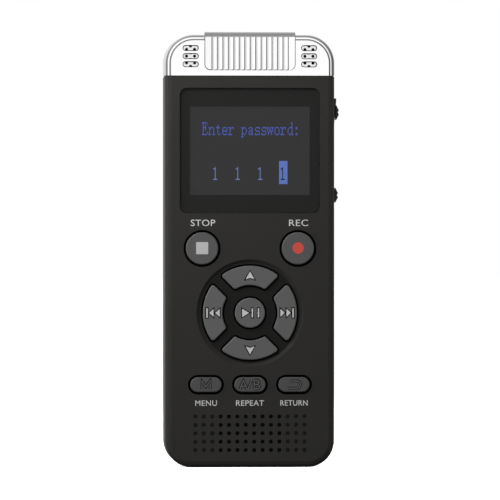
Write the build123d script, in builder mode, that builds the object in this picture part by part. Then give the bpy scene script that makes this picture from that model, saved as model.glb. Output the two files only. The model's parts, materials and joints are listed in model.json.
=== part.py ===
"""A handheld voice recorder, standing on its lower end, with its face towards -Y.

The case is a front shell and a rear shell, screwed together from behind. A plated cap closes
the upper end and holds two microphones behind slots. Ten keys rest on tact switches, two
sliders on the right edge drive slide switches, and a loudspeaker sits behind a grid of holes.
Lengths are in millimetres. X runs across the face, Y from front to back and Z upwards.
"""

import os
from math import cos, radians, sin, sqrt

from build123d import *

# ---------------------------------------------------------------- case
BODY_WIDTH = 38.2
BODY_DEPTH = 12.8
HOUSING_TOP = 88.2
CAP_TOP = 97.4
TRIM_TOP = 98.0
LOWER_CORNER = 6.0
UPPER_CORNER = 6.4
WALL = 1.3
FRONT_Y = -BODY_DEPTH / 2
BACK_Y = BODY_DEPTH / 2
INNER_FRONT_Y = FRONT_Y + WALL
INNER_BACK_Y = BACK_Y - WALL
INNER_HALF_WIDTH = BODY_WIDTH / 2 - WALL
SEAM_Y = 0.5
SEAM_GROOVE_WIDTH = 0.2
SEAM_GROOVE_DEPTH = 0.18

# the face stands a little proud inside a rounded border, further in on the shells
SHELL_RISE = 0.12
SHELL_BORDER = 1.22
SHELL_FRONT_ROUND = 1.2
SHELL_BEVEL = (0.08, 0.1)
CAP_RISE = 0.25
CAP_BORDER = 0.95
CAP_FRONT_ROUND = 0.9
CAP_BEVEL = (0.22, 0.36)
BACK_ROUND = 2.2
JOINT_BEVEL = 0.3

# tongue of both shells that the cap slides over, and the lip along the seam
TONGUE_TOP = HOUSING_TOP + 1.1
TONGUE_FOOT = HOUSING_TOP - 1.6
TONGUE_CLEARANCE = 0.06
TONGUE_THICKNESS = 0.85
LIP_THICKNESS = 0.55
LIP_HEIGHT = 0.8
LIP_CLEARANCE = 0.1

# ---------------------------------------------------------------- circuit board
BOARD_FRONT_Y = -1.2
BOARD_THICKNESS = 1.0
BOARD_BACK_Y = BOARD_FRONT_Y + BOARD_THICKNESS
BOARD_HALF_WIDTH = 16.8
BOARD_LOW = 2.2
BOARD_HIGH = 86.4
BOARD_CORNER = 4.6

SCREW_X = 14.9
SCREW_HEIGHTS = (12.8, 54.8)
BOSS_RADIUS = 1.8
PILOT_RADIUS = 0.75
SCREW_CLEAR_RADIUS = 1.05
SCREW_SHANK_RADIUS = 0.85
SCREW_TIP_RADIUS = 0.7
SCREW_HEAD_RADIUS = 1.6
SCREW_HEAD_THICKNESS = 1.0
SCREW_TIP_Y = -4.0
COUNTERBORE_RADIUS = 1.85
COUNTERBORE_DEPTH = 1.6
COUNTERBORE_WALL = 0.8

# sunken blank panel on the back
BACK_PANEL_Z = 34.0
BACK_PANEL_SIZE = (25.0, 28.0)
BACK_PANEL_CORNER = 1.5
BACK_PANEL_DEPTH = 0.25

# ---------------------------------------------------------------- display
WINDOW_WIDTH = 31.5
WINDOW_HEIGHT = 28.1
WINDOW_CORNER = 1.6
WINDOW_THICKNESS = 0.8
WINDOW_GAP = 0.08
WINDOW_SINK = 0.05
WINDOW_Z = 71.3
VIEW_WIDTH = 28.4
VIEW_HEIGHT = 21.2
PANEL_WIDTH = 30.0
PANEL_HEIGHT = 25.4
PANEL_FRONT_Y = -5.0
PANEL_THICKNESS = 1.5
FRAME_WALL = 0.7
FRAME_GAP = 0.1
FRAME_SHELF = 2.0
FLEX_WIDTH = 12.0
FLEX_THICKNESS = 0.16

# ---------------------------------------------------------------- keys
KEY_TRAVEL = 0.3
KEY_SPARE_TRAVEL = 0.2
FLANGE_GAP = 0.03
FLANGE_THICKNESS = 0.55
FLANGE_FRONT_Y = INNER_FRONT_Y + FLANGE_GAP
FLANGE_BACK_Y = FLANGE_FRONT_Y + FLANGE_THICKNESS
PLUNGER_RADIUS = 1.2
PLUNGER_TIP_Y = -3.1
STEM_RADIUS = 0.9
STEM_TAIL_Y = -2.15
TACT_SIZE = 4.0
TACT_FRONT_Y = -2.5
TACT_BORE_RADIUS = 1.0
TACT_BORE_FLOOR_Y = STEM_TAIL_Y + KEY_TRAVEL + KEY_SPARE_TRAVEL
KEY_EDGE = 0.28
ICON_DEPTH = 0.12
ICON_RIM = 0.1
STROKE = 0.42
BAR_WIDTH = 0.56

ROUND_KEY_RADIUS = 3.65
ROUND_KEY_X = 10.8
ROUND_KEY_Z = 49.3
ROUND_KEY_GAP = 0.52
ROUND_KEY_TOP_Y = -6.85

PAD_Z = 34.8
PAD_OUTER = 10.62
PLAY_KEY_RADIUS = 3.4
PAD_INNER = 6.2
PAD_SPLIT = 1.3
PAD_CORNER = 0.6
PAD_GAP = 0.36
PAD_TOP_Y = -6.6
PAD_DISH_RADIUS = 12.06
PAD_DISH_DEPTH = 0.5
PAD_DISH_SLOPE = 56.0
PAD_ICON_RADIUS = 8.45

PILL_WIDTH = 7.1
PILL_HEIGHT = 3.4
PILL_PITCH = 9.92
PILL_Z = 18.65
PILL_GAP = 0.5
PILL_TOP_Y = -6.75
FLANGE_OVERHANG = 0.5

# ---------------------------------------------------------------- sound
SPEAKER_Z = 7.7
HOLE_PITCH = 1.89
OPEN_COLUMNS = 8
BLIND_COLUMNS = 3
BLIND_HOLE_DEPTH = 0.6
HOLE_ROWS = 5
HOLE_RADIUS = 0.46
SPEAKER_WIDTH = 25.2
SPEAKER_HEIGHT = 10.4
SPEAKER_CORNER = 3.0
SPEAKER_FRONT_Y = -4.55
SPEAKER_BACK_Y = -1.5

MIC_X = 13.35
MIC_SLOT_LENGTH = 3.3
MIC_SLOT_HEIGHT = 1.0
MIC_SLOT_BEVEL = 0.18
MIC_SLOT_PITCH = 1.82
MIC_Z = 92.55
MIC_POCKET_SIZE = 5.4
MIC_POCKET_DEPTH = 0.6
MIC_MESH_THICKNESS = 0.2
MIC_HOLE_RADIUS = 0.35
MIC_HOLE_PITCH = (1.82, 1.52)
MIC_CAPSULE_Z = 92.55
MIC_CAPSULE_RADIUS = 2.0
MIC_MESH_BACK_Y = INNER_FRONT_Y - MIC_POCKET_DEPTH + MIC_MESH_THICKNESS + 0.02
MIC_BOOT_RADIUS = 2.6

# ---------------------------------------------------------------- ribbed trim over the cap
TRIM_WIDTH = 20.5
TRIM_LOW = 89.4
TRIM_CORNER = 1.3
TRIM_FLOOR_Y = -6.5
TRIM_CREST_Y = -6.9
TRIM_SEAT_Y = -5.95
TRIM_SEAT_Z = 96.95
TRIM_BEND = 1.5
TRIM_BACK_LOW = 91.5
TRIM_BACK_BEND = 2.2
TRIM_SEAT_BEND = 1.0
TRIM_SEAT_BACK_BEND = 1.6
TRIM_GAP = 0.03
TRIM_TAPER = 0.75
RIB_PITCH = 1.23
GROOVE_COUNT = 15
GROOVE_WIDTH = 0.2
RIB_HEIGHT = 0.2
RIB_HIGH = 96.9
RIB_BEVEL = 0.16
RIB_ROOT = 0.1

# ---------------------------------------------------------------- sliders on the right edge
SLIDE_TRAVEL = 2.0
SLIDE_Y = SEAM_Y
RECORD_SLIDE_Z = 80.0
HOLD_SLIDE_Z = 61.3
KNOB_LENGTH = 3.3
KNOB_WIDTH = 3.0
NECK_LENGTH = 2.2
NECK_WIDTH = 1.4
SLOT_CLEARANCE = 0.1
KNOB_FLANGE_X = 16.95
KNOB_FLANGE_THICKNESS = 0.7
SIDE_X = BODY_WIDTH / 2
RECORD_SEAT = 0.7
HOLD_SEAT = 0.5
PLATE_LOW = 74.6
PLATE_HIGH = 83.2
PLATE_WIDTH = 4.4
PLATE_SINK = 0.5
PLATE_RISE = 0.78
LEVER_LENGTH = 1.2
LEVER_TIP_X = 17.35
SWITCH_BODY_DEPTH = 2.7
SWITCH_BODY_FACE_X = 15.4
SWITCH_BODY_LENGTH = 6.7
SWITCH_BODY_THICKNESS = 1.45

# ---------------------------------------------------------------- sockets in the lower end
JACK_X = -7.0
JACK_Y = 1.6
JACK_BORE_RADIUS = 1.8
JACK_BORE_LENGTH = 11.0
JACK_NOSE_RADIUS = 2.5
JACK_NOSE_END = 0.4
JACK_BODY_LOW = 2.2
JACK_BODY_HIGH = 12.4
JACK_BODY_SIZE = (6.0, 5.0)
USB_X = 5.5
USB_SIZE = (7.4, 2.6)
USB_LOW = 0.35
USB_HIGH = 6.0
USB_SKIN = 0.25
USB_Y = BOARD_BACK_Y + USB_SIZE[1] / 2

# ---------------------------------------------------------------- battery
BATTERY_WIDTH = 29.0
BATTERY_LOW = 17.6
BATTERY_HIGH = 51.8
BATTERY_FRONT_Y = 0.2
BATTERY_BACK_Y = 4.7


def facing(x, y, z, turn=0.0):
    """A plane at that point whose normal is -Y, with its own x along +X before the turn."""
    across = (cos(radians(turn)), 0, sin(radians(turn)))
    return Plane(origin=(x, y, z), x_dir=across, z_dir=(0, -1, 0))


def save(piece, name):
    """Names the finished piece and writes its STEP file."""
    piece.label = name
    export_step(piece, f"parts/{name}.step")


# ================================================================ case forms
def housing_profile(inset, top=HOUSING_TOP):
    """Outline of the two shells, from the lower end up to top, drawn in from the outside."""
    with Locations((0, (inset + top) / 2)):
        Rectangle(BODY_WIDTH - 2 * inset, top - inset)
    fillet(vertices().group_by(Axis.Y)[0], LOWER_CORNER - inset)


def housing_profile_cut(inset, top):
    """Takes the middle out of a housing outline up to top, leaving a border."""
    half = BODY_WIDTH / 2 - inset
    corner = LOWER_CORNER - inset
    with BuildLine() as outline:
        Line((-half, top), (-half, inset + corner))
        RadiusArc((-half, inset + corner), (-half + corner, inset), -corner)
        Line((-half + corner, inset), (half - corner, inset))
        RadiusArc((half - corner, inset), (half, inset + corner), -corner)
        Line((half, inset + corner), (half, top))
        Line((half, top), (-half, top))
    make_face(outline.edges(), mode=Mode.SUBTRACT)


def cap_profile(inset):
    """Outline of the cap, from the joint up to its rounded end, drawn in from the outside."""
    high = CAP_TOP - inset
    with Locations((0, (HOUSING_TOP + high) / 2)):
        Rectangle(BODY_WIDTH - 2 * inset, high - HOUSING_TOP)
    fillet(vertices().group_by(Axis.Y)[-1], UPPER_CORNER - inset)


def off_the_joint(edge):
    """True for an edge that isn't on the plane where the cap meets the shells."""
    return abs(edge.center().Z - HOUSING_TOP) > 0.01


def case_form(profile, rise, border, front_round, bevel):
    """The solid outer form for a profile. Its long edges are rounded, and inside a border
    its face stands proud by rise, with a bevel of (depth, width) round it."""
    with BuildPart() as form:
        with BuildSketch(facing(0, BACK_Y, 0)):
            profile(0)
        extrude(amount=BODY_DEPTH - rise)
        front_face = form.faces().sort_by(Axis.Y)[0]
        fillet(front_face.edges().filter_by(off_the_joint), front_round)
        back_face = form.faces().sort_by(Axis.Y)[-1]
        fillet(back_face.edges().filter_by(off_the_joint), BACK_ROUND)
        with BuildSketch(facing(0, FRONT_Y + rise, 0)):
            profile(border)
        extrude(amount=rise)
        raised = form.faces().sort_by(Axis.Y)[0]
        depth, width = bevel
        chamfer(raised.edges().filter_by(off_the_joint), width, depth, reference=raised)
    return form.part


def hollow_housing():
    """Both shells as one hollow body, before they are parted at the seam."""
    with BuildPart() as body:
        add(case_form(housing_profile, SHELL_RISE, SHELL_BORDER, SHELL_FRONT_ROUND, SHELL_BEVEL))
        # a bevel all round where the shells meet the cap
        with BuildSketch(Plane.XY.offset(HOUSING_TOP)):
            Rectangle(2 * BODY_WIDTH, 2 * BODY_DEPTH)
        extrude(amount=-JOINT_BEVEL, mode=Mode.SUBTRACT)
        with BuildSketch(Plane.XY.offset(HOUSING_TOP - JOINT_BEVEL)):
            Rectangle(BODY_WIDTH, BODY_DEPTH)
            fillet(vertices().group_by(Axis.Y)[0], SHELL_FRONT_ROUND)
            fillet(vertices().group_by(Axis.Y)[-1], BACK_ROUND)
        extrude(amount=JOINT_BEVEL, taper=45)
        # a fine groove along the seam
        with BuildSketch(facing(0, SEAM_Y + SEAM_GROOVE_WIDTH / 2, 0)):
            housing_profile(-1)
            housing_profile_cut(SEAM_GROOVE_DEPTH, HOUSING_TOP)
        extrude(amount=SEAM_GROOVE_WIDTH, mode=Mode.SUBTRACT)
        with BuildSketch(facing(0, INNER_BACK_Y, 0)):
            housing_profile(WALL)
        extrude(amount=INNER_BACK_Y - INNER_FRONT_Y, mode=Mode.SUBTRACT)
        # the tongue: a foot that joins the wall, then a thinner ring inside the cap
        inside = WALL + TONGUE_CLEARANCE + TONGUE_THICKNESS
        for outside, high in (
            (WALL - 0.2, HOUSING_TOP - JOINT_BEVEL),
            (WALL + TONGUE_CLEARANCE, TONGUE_TOP),
        ):
            with BuildSketch(Plane.XY.offset(TONGUE_FOOT)):
                Rectangle(BODY_WIDTH - 2 * outside, BODY_DEPTH - 2 * outside)
                Rectangle(BODY_WIDTH - 2 * inside, BODY_DEPTH - 2 * inside, mode=Mode.SUBTRACT)
            extrude(amount=high - TONGUE_FOOT)
    return body.part


def bottom_sockets():
    """Room for the headphone jack and the USB port through the lower end."""
    with BuildPart() as room:
        with BuildSketch(Plane.XY.offset(-1)):
            with Locations((JACK_X, JACK_Y)):
                Circle(JACK_NOSE_RADIUS + 0.1)
            with Locations((USB_X, USB_Y)):
                RectangleRounded(USB_SIZE[0] + 0.5, USB_SIZE[1] + 0.5, 0.8)
        extrude(amount=1 + BOARD_LOW)
    return room.part


def side_slots():
    """Room in the right wall for both slider necks and the plate under the upper slider."""
    slot_length = NECK_LENGTH + SLIDE_TRAVEL + 2 * SLOT_CLEARANCE
    side = Plane(origin=(SIDE_X + 1, 0, 0), x_dir=(0, 1, 0), z_dir=(1, 0, 0))
    with BuildPart() as room:
        with BuildSketch(side):
            for centre in (RECORD_SLIDE_Z, HOLD_SLIDE_Z):
                with Locations((SLIDE_Y, centre - SLIDE_TRAVEL / 2)):
                    Rectangle(NECK_WIDTH + 2 * SLOT_CLEARANCE, slot_length)
        extrude(amount=-(1 + WALL + 0.1))
        with BuildSketch(side):
            with Locations((SLIDE_Y, (PLATE_LOW + PLATE_HIGH) / 2)):
                RectangleRounded(PLATE_WIDTH + 0.04, PLATE_HIGH - PLATE_LOW + 0.04, 1.0)
        extrude(amount=-(1 + PLATE_SINK))
    return room.part


# ================================================================ key profiles
def round_profile(grow):
    """Round key."""
    Circle(ROUND_KEY_RADIUS + grow)


def centre_profile(grow):
    """The key in the middle of the pad."""
    Circle(PLAY_KEY_RADIUS + grow)


def pill_profile(grow):
    """Key with two half-round ends."""
    SlotOverall(PILL_WIDTH + 2 * grow, PILL_HEIGHT + 2 * grow)


def arc_profile(grow):
    """Upper key of the pad, drawn about the pad's centre: part of a ring whose ends run
    parallel to the diagonals."""
    apex = (PAD_SPLIT - grow) * sqrt(2)
    reach = 2 * PAD_OUTER
    Circle(PAD_OUTER + grow)
    Circle(PAD_INNER - grow, mode=Mode.SUBTRACT)
    Polygon((0, apex), (reach, apex + reach), (-reach, apex + reach), align=None,
            mode=Mode.INTERSECT)
    fillet(vertices(), PAD_CORNER + grow)


# ================================================================ key icons
def stroke(*points):
    """A pen line through the points."""
    with BuildLine() as pen:
        Polyline(*points)
    trace(pen.line, STROKE)


def menu_icon():
    """The letter M."""
    stroke((-0.92, -0.95), (-0.92, 0.95), (0, -0.45), (0.92, 0.95), (0.92, -0.95))


def repeat_icon():
    """A/B, for repeating the stretch between two marks."""
    stroke((-2.3, -0.95), (-1.5, 0.95), (-0.7, -0.95))
    stroke((-2.0, -0.35), (-1.0, -0.35))
    stroke((-0.45, -0.95), (0.35, 0.95))
    stroke((0.95, 0.95), (0.95, -0.95))
    stroke((0.95, 0.95), (1.75, 0.95), (2.1, 0.55), (1.75, 0.05), (0.95, 0.05))
    stroke((1.75, 0.05), (2.25, -0.45), (1.8, -0.95), (0.95, -0.95))


def return_icon():
    """A line that turns back on itself."""
    turn_x, half = 0.65, 0.8
    with BuildLine() as pen:
        Line((-0.75, half), (turn_x, half))
        CenterArc((turn_x, 0), half, -90, 180)
        Line((turn_x, -half), (-1.4, -half))
    trace(pen.line, STROKE)


def up_icon():
    """Arrowhead with a notched foot, on the upper key of the pad."""
    with Locations((0, PAD_ICON_RADIUS)):
        Polygon((0, 1.12), (1.25, -1.12), (0, -0.7), (-1.25, -1.12), align=None)


def skip_icon():
    """Two triangles and a bar. On the upper key of the pad they point up, so that the key
    turned to the side points outwards."""
    length, half_width = 1.27, 1.18
    for tip in (8.0, 9.38):
        Polygon((0, tip), (half_width, tip - length), (-half_width, tip - length), align=None)
    with Locations((0, 9.7)):
        Rectangle(2 * half_width, BAR_WIDTH)


def play_icon():
    """A triangle and two bars."""
    Polygon((0.05, 0), (-1.9, 1.15), (-1.9, -1.15), align=None)
    with Locations((0.52, 0), (1.9, 0)):
        Rectangle(BAR_WIDTH, 2.3)


# ================================================================ keys
def make_key(profile, gap, x, z, top_y, turn=0.0, icon=None, reach=0.0):
    """A key: the top that shows, the flange that keeps it in, and a plunger. The plunger
    stands off the key's own centre by reach, along its own upward direction."""
    plunger_x = x - reach * sin(radians(turn))
    plunger_z = z + reach * cos(radians(turn))
    with BuildPart() as key:
        with BuildSketch(facing(x, FLANGE_FRONT_Y, z, turn)):
            profile(0)
        extrude(amount=FLANGE_FRONT_Y - top_y)
        rim = key.faces().sort_by(Axis.Y)[0]
        fillet(rim.edges(), KEY_EDGE)
        with BuildSketch(facing(x, FLANGE_BACK_Y, z, turn)):
            profile(gap + FLANGE_OVERHANG)
        extrude(amount=FLANGE_THICKNESS)
        with BuildSketch(facing(plunger_x, PLUNGER_TIP_Y, plunger_z)):
            Circle(PLUNGER_RADIUS)
        extrude(amount=PLUNGER_TIP_Y - FLANGE_BACK_Y)
        if icon:
            with BuildSketch(facing(x, top_y, z, turn)):
                icon()
                offset(amount=ICON_RIM)
            extrude(amount=-ICON_DEPTH, mode=Mode.SUBTRACT)
    return key.part


def make_stem(x, z):
    """The moving stem of a tact switch, which rests on the key's plunger."""
    with BuildPart() as stem:
        with BuildSketch(facing(x, STEM_TAIL_Y, z)):
            Circle(STEM_RADIUS)
        extrude(amount=STEM_TAIL_Y - PLUNGER_TIP_Y)
    return stem.part


# name, profile, gap round it, x, z, height of its top, turn, icon, plunger off centre
PAD = (arc_profile, PAD_GAP, 0, PAD_Z, PAD_TOP_Y)
PILL = (pill_profile, PILL_GAP)
ROUND = (round_profile, ROUND_KEY_GAP)
KEYS = {
    "stop": (*ROUND, -ROUND_KEY_X, ROUND_KEY_Z, ROUND_KEY_TOP_Y, 0, None, 0),
    "record": (*ROUND, ROUND_KEY_X, ROUND_KEY_Z, ROUND_KEY_TOP_Y, 0, None, 0),
    "up": (*PAD, 0, up_icon, PAD_ICON_RADIUS),
    "previous": (*PAD, 90, skip_icon, PAD_ICON_RADIUS),
    "down": (*PAD, 180, up_icon, PAD_ICON_RADIUS),
    "next": (*PAD, -90, skip_icon, PAD_ICON_RADIUS),
    "play": (centre_profile, PAD_GAP, 0, PAD_Z, PAD_TOP_Y, 0, play_icon, 0),
    "menu": (*PILL, -PILL_PITCH, PILL_Z, PILL_TOP_Y, 0, menu_icon, 0),
    "repeat": (*PILL, 0, PILL_Z, PILL_TOP_Y, 0, repeat_icon, 0),
    "return": (*PILL, PILL_PITCH, PILL_Z, PILL_TOP_Y, 0, return_icon, 0),
}


def switch_places():
    """(x, z) of each tact switch, by the name of its key."""
    places = {}
    for name, (_, _, x, z, _, turn, _, reach) in KEYS.items():
        angle = radians(turn)
        places[name] = (x - reach * sin(angle), z + reach * cos(angle))
    return places


# ================================================================ shells
def make_front_housing():
    """Front shell: window pocket, key openings, speaker holes and screw posts."""
    with BuildPart() as shell:
        add(hollow_housing())
        split(bisect_by=facing(0, SEAM_Y, 0), keep=Keep.TOP)
        # pocket that takes the window, and the smaller opening behind it
        with BuildSketch(facing(0, FRONT_Y, WINDOW_Z)):
            RectangleRounded(
                WINDOW_WIDTH + 2 * WINDOW_GAP,
                WINDOW_HEIGHT + 2 * WINDOW_GAP,
                WINDOW_CORNER + WINDOW_GAP,
            )
        extrude(amount=-(WINDOW_SINK + WINDOW_THICKNESS), mode=Mode.SUBTRACT)
        with BuildSketch(facing(0, FRONT_Y, WINDOW_Z)):
            RectangleRounded(VIEW_WIDTH, VIEW_HEIGHT, 0.8)
        extrude(amount=-WALL, mode=Mode.SUBTRACT)
        # shallow dish round the pad, with a sloping rim
        with BuildSketch(facing(0, FRONT_Y, PAD_Z)):
            Circle(PAD_DISH_RADIUS)
        extrude(amount=-PAD_DISH_DEPTH, taper=PAD_DISH_SLOPE, mode=Mode.SUBTRACT)
        for profile, gap, x, z, _, turn, _, _ in KEYS.values():
            with BuildSketch(facing(x, FRONT_Y, z, turn)):
                profile(gap)
            extrude(amount=-WALL, mode=Mode.SUBTRACT)
        with BuildSketch(facing(0, FRONT_Y, SPEAKER_Z)):
            with GridLocations(HOLE_PITCH, HOLE_PITCH, OPEN_COLUMNS, HOLE_ROWS):
                Circle(HOLE_RADIUS)
        extrude(amount=-WALL, mode=Mode.SUBTRACT)
        # the outer columns only continue the pattern, and stop short of the inside
        blind_x = HOLE_PITCH * (OPEN_COLUMNS + BLIND_COLUMNS) / 2
        with BuildSketch(facing(0, FRONT_Y, SPEAKER_Z)):
            with Locations((-blind_x, 0), (blind_x, 0)):
                with GridLocations(HOLE_PITCH, HOLE_PITCH, BLIND_COLUMNS, HOLE_ROWS):
                    Circle(HOLE_RADIUS)
        extrude(amount=-BLIND_HOLE_DEPTH, mode=Mode.SUBTRACT)
        # posts with pilot holes, which clamp the board from the front
        with BuildSketch(facing(0, BOARD_FRONT_Y, 0)):
            with Locations(*screw_points()):
                Circle(BOSS_RADIUS)
                Circle(PILOT_RADIUS, mode=Mode.SUBTRACT)
        extrude(amount=BOARD_FRONT_Y - INNER_FRONT_Y + 0.2)
        with BuildSketch(facing(0, BOARD_FRONT_Y, 0)):
            with Locations(*screw_points()):
                Circle(PILOT_RADIUS)
        extrude(amount=BOARD_FRONT_Y - INNER_FRONT_Y, mode=Mode.SUBTRACT)
        add(side_slots(), mode=Mode.SUBTRACT)
        add(bottom_sockets(), mode=Mode.SUBTRACT)
    return shell.part


def make_rear_housing():
    """Rear shell: lip along the seam, hollow screw bosses and a sunken blank panel."""
    with BuildPart() as shell:
        add(hollow_housing())
        split(bisect_by=facing(0, SEAM_Y, 0), keep=Keep.BOTTOM)
        with BuildSketch(facing(0, INNER_BACK_Y, 0)):
            housing_profile(WALL + LIP_CLEARANCE, TONGUE_FOOT)
            housing_profile_cut(WALL + LIP_CLEARANCE + LIP_THICKNESS, TONGUE_FOOT)
        extrude(amount=INNER_BACK_Y - SEAM_Y + LIP_HEIGHT)
        with BuildSketch(facing(0, INNER_BACK_Y, 0)):
            housing_profile(WALL - 0.1, TONGUE_FOOT)
            housing_profile_cut(WALL + LIP_CLEARANCE + LIP_THICKNESS, TONGUE_FOOT)
        extrude(amount=INNER_BACK_Y - SEAM_Y - 0.4)
        with BuildSketch(facing(0, INNER_BACK_Y, 0)):
            with Locations(*screw_points()):
                Circle(BOSS_RADIUS)
        extrude(amount=INNER_BACK_Y - BOARD_BACK_Y)
        with BuildSketch(facing(0, INNER_BACK_Y, 0)):
            with Locations(*screw_points()):
                Circle(COUNTERBORE_RADIUS + COUNTERBORE_WALL)
        extrude(amount=COUNTERBORE_DEPTH - WALL + COUNTERBORE_WALL)
        with BuildSketch(facing(0, BACK_Y, 0)):
            with Locations(*screw_points()):
                Circle(SCREW_CLEAR_RADIUS)
        extrude(amount=BODY_DEPTH, mode=Mode.SUBTRACT)
        with BuildSketch(facing(0, BACK_Y, 0)):
            with Locations(*screw_points()):
                Circle(COUNTERBORE_RADIUS)
        extrude(amount=COUNTERBORE_DEPTH, mode=Mode.SUBTRACT)
        with BuildSketch(facing(0, BACK_Y, BACK_PANEL_Z)):
            RectangleRounded(*BACK_PANEL_SIZE, BACK_PANEL_CORNER)
        extrude(amount=BACK_PANEL_DEPTH, mode=Mode.SUBTRACT)
        # room inside for the slider flanges and the sockets
        for centre in (RECORD_SLIDE_Z, HOLD_SLIDE_Z):
            with BuildSketch(facing(INNER_HALF_WIDTH - 1.5, 3.2, centre - SLIDE_TRAVEL / 2)):
                Rectangle(3.0, 6.8)
            extrude(amount=4.4, mode=Mode.SUBTRACT)
        with BuildSketch(Plane.XY.offset(WALL)):
            with Locations((JACK_X, JACK_Y)):
                Rectangle(JACK_BODY_SIZE[0] + 0.4, JACK_BODY_SIZE[1] + 0.8)
            with Locations((USB_X, USB_Y)):
                Rectangle(USB_SIZE[0] + 0.6, USB_SIZE[1] + 2.0)
        extrude(amount=3.0, mode=Mode.SUBTRACT)
        add(side_slots(), mode=Mode.SUBTRACT)
        add(bottom_sockets(), mode=Mode.SUBTRACT)
    return shell.part


def screw_points():
    """(x, z) of the four case screws."""
    return [(side * SCREW_X, z) for z in SCREW_HEIGHTS for side in (-1, 1)]


# ================================================================ cap and trim
def trim_section(front_y, back_y, top_z, bend, back_bend):
    """Side view of the trim's outer or inner line, as a filled shape down to the joint."""
    low = HOUSING_TOP - 2
    Polygon((front_y, low), (front_y, top_z), (back_y, top_z), (back_y, low), align=None)
    fillet(vertices().group_by(Axis.Y)[-1].sort_by(Axis.X)[0], bend)
    fillet(vertices().group_by(Axis.Y)[-1].sort_by(Axis.X)[-1], back_bend)


def trim_form(width, gap):
    """The trim's volume with no ribs: a bent strip over the front, top and back. With a
    gap it is the room that the cap leaves for it."""
    section_plane = Plane(origin=(-width / 2, 0, 0), x_dir=(0, 1, 0), z_dir=(1, 0, 0))
    with BuildPart() as strip:
        with BuildSketch(section_plane):
            trim_section(TRIM_FLOOR_Y - gap, BACK_Y, TRIM_TOP, TRIM_BEND, TRIM_BACK_BEND)
        extrude(amount=width)
        with BuildSketch(section_plane):
            trim_section(TRIM_SEAT_Y + gap, -TRIM_SEAT_Y - gap, TRIM_SEAT_Z - gap,
                         TRIM_SEAT_BEND, TRIM_SEAT_BACK_BEND)
        extrude(amount=width, mode=Mode.SUBTRACT)
        # the front leg ends lower than the back one, with rounded corners
        with BuildSketch(facing(0, 0, 0)):
            with Locations((0, (TRIM_LOW - gap + TRIM_TOP + 3) / 2)):
                Rectangle(width, TRIM_TOP + 3 - TRIM_LOW + gap)
            fillet(vertices().group_by(Axis.Y)[0], TRIM_CORNER)
        extrude(amount=BODY_DEPTH, mode=Mode.INTERSECT, both=True)
        with BuildSketch(facing(0, BODY_DEPTH, 0)):
            with Locations((0, TRIM_BACK_LOW - gap - 5)):
                Rectangle(width + 1, 10)
        extrude(amount=BODY_DEPTH, mode=Mode.SUBTRACT)
        # it narrows a little towards the back
        with BuildSketch(Plane.XY.offset(HOUSING_TOP)):
            for side in (-1, 1):
                Polygon(
                    (side * width / 2, TRIM_CREST_Y - 1), (side * width / 2, TRIM_FLOOR_Y + 0.5),
                    (side * (width / 2 - TRIM_TAPER), BACK_Y + 1), (side * width, BACK_Y + 1),
                    (side * width, TRIM_CREST_Y - 1), align=None,
                )
        extrude(amount=TRIM_TOP, mode=Mode.SUBTRACT)
    return strip.part


def rib_line():
    """Section across the ribs: each rises in a flattening curve from left to right, then
    drops steeply into the groove before the next one."""
    valley_y = TRIM_CREST_Y + RIB_HEIGHT
    back_y = TRIM_FLOOR_Y + RIB_ROOT
    left, right = -TRIM_WIDTH / 2, TRIM_WIDTH / 2
    first = -RIB_PITCH * (GROOVE_COUNT - 1) / 2 - GROOVE_WIDTH / 2
    Line((left, back_y), (left, TRIM_CREST_Y))
    start = (left, TRIM_CREST_Y)
    for i in range(GROOVE_COUNT):
        crest = (first + i * RIB_PITCH, TRIM_CREST_Y)
        valley = (crest[0] + GROOVE_WIDTH, valley_y)
        if i == 0:
            Line(start, crest)
        else:
            TangentArc(crest, start, tangent=(-1, 0))
        Line(crest, valley)
        start = valley
    TangentArc((right, TRIM_CREST_Y), start, tangent=(-1, 0))
    Line((right, TRIM_CREST_Y), (right, back_y))
    Line((right, back_y), (left, back_y))


def make_ribs():
    """The ribbed face of the trim, bevelled round its edge, with two round lower corners."""
    back_y = TRIM_FLOOR_Y + RIB_ROOT
    middle_z = (TRIM_LOW + RIB_HIGH) / 2
    with BuildPart() as ribs:
        with BuildSketch(Plane.XY.offset(TRIM_LOW)):
            with BuildLine():
                rib_line()
            make_face()
        extrude(amount=RIB_HIGH - TRIM_LOW)
        with BuildPart(mode=Mode.PRIVATE) as envelope:
            with BuildSketch(facing(0, back_y, middle_z)):
                Rectangle(TRIM_WIDTH, RIB_HIGH - TRIM_LOW)
                fillet(vertices().group_by(Axis.Y)[0], TRIM_CORNER)
            extrude(amount=back_y - TRIM_CREST_Y)
            crest = envelope.faces().filter_by(Axis.Y).sort_by(Axis.Y)[0]
            low_edges = crest.edges().sort_by(Axis.Z)[:-1]
            chamfer(low_edges, RIB_BEVEL)
        add(envelope.part, mode=Mode.INTERSECT)
    return ribs.part


def make_top_trim():
    """Ribbed strip over the middle of the cap."""
    with BuildPart() as trim:
        add(trim_form(TRIM_WIDTH, 0))
        add(make_ribs())
    return trim.part


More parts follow.
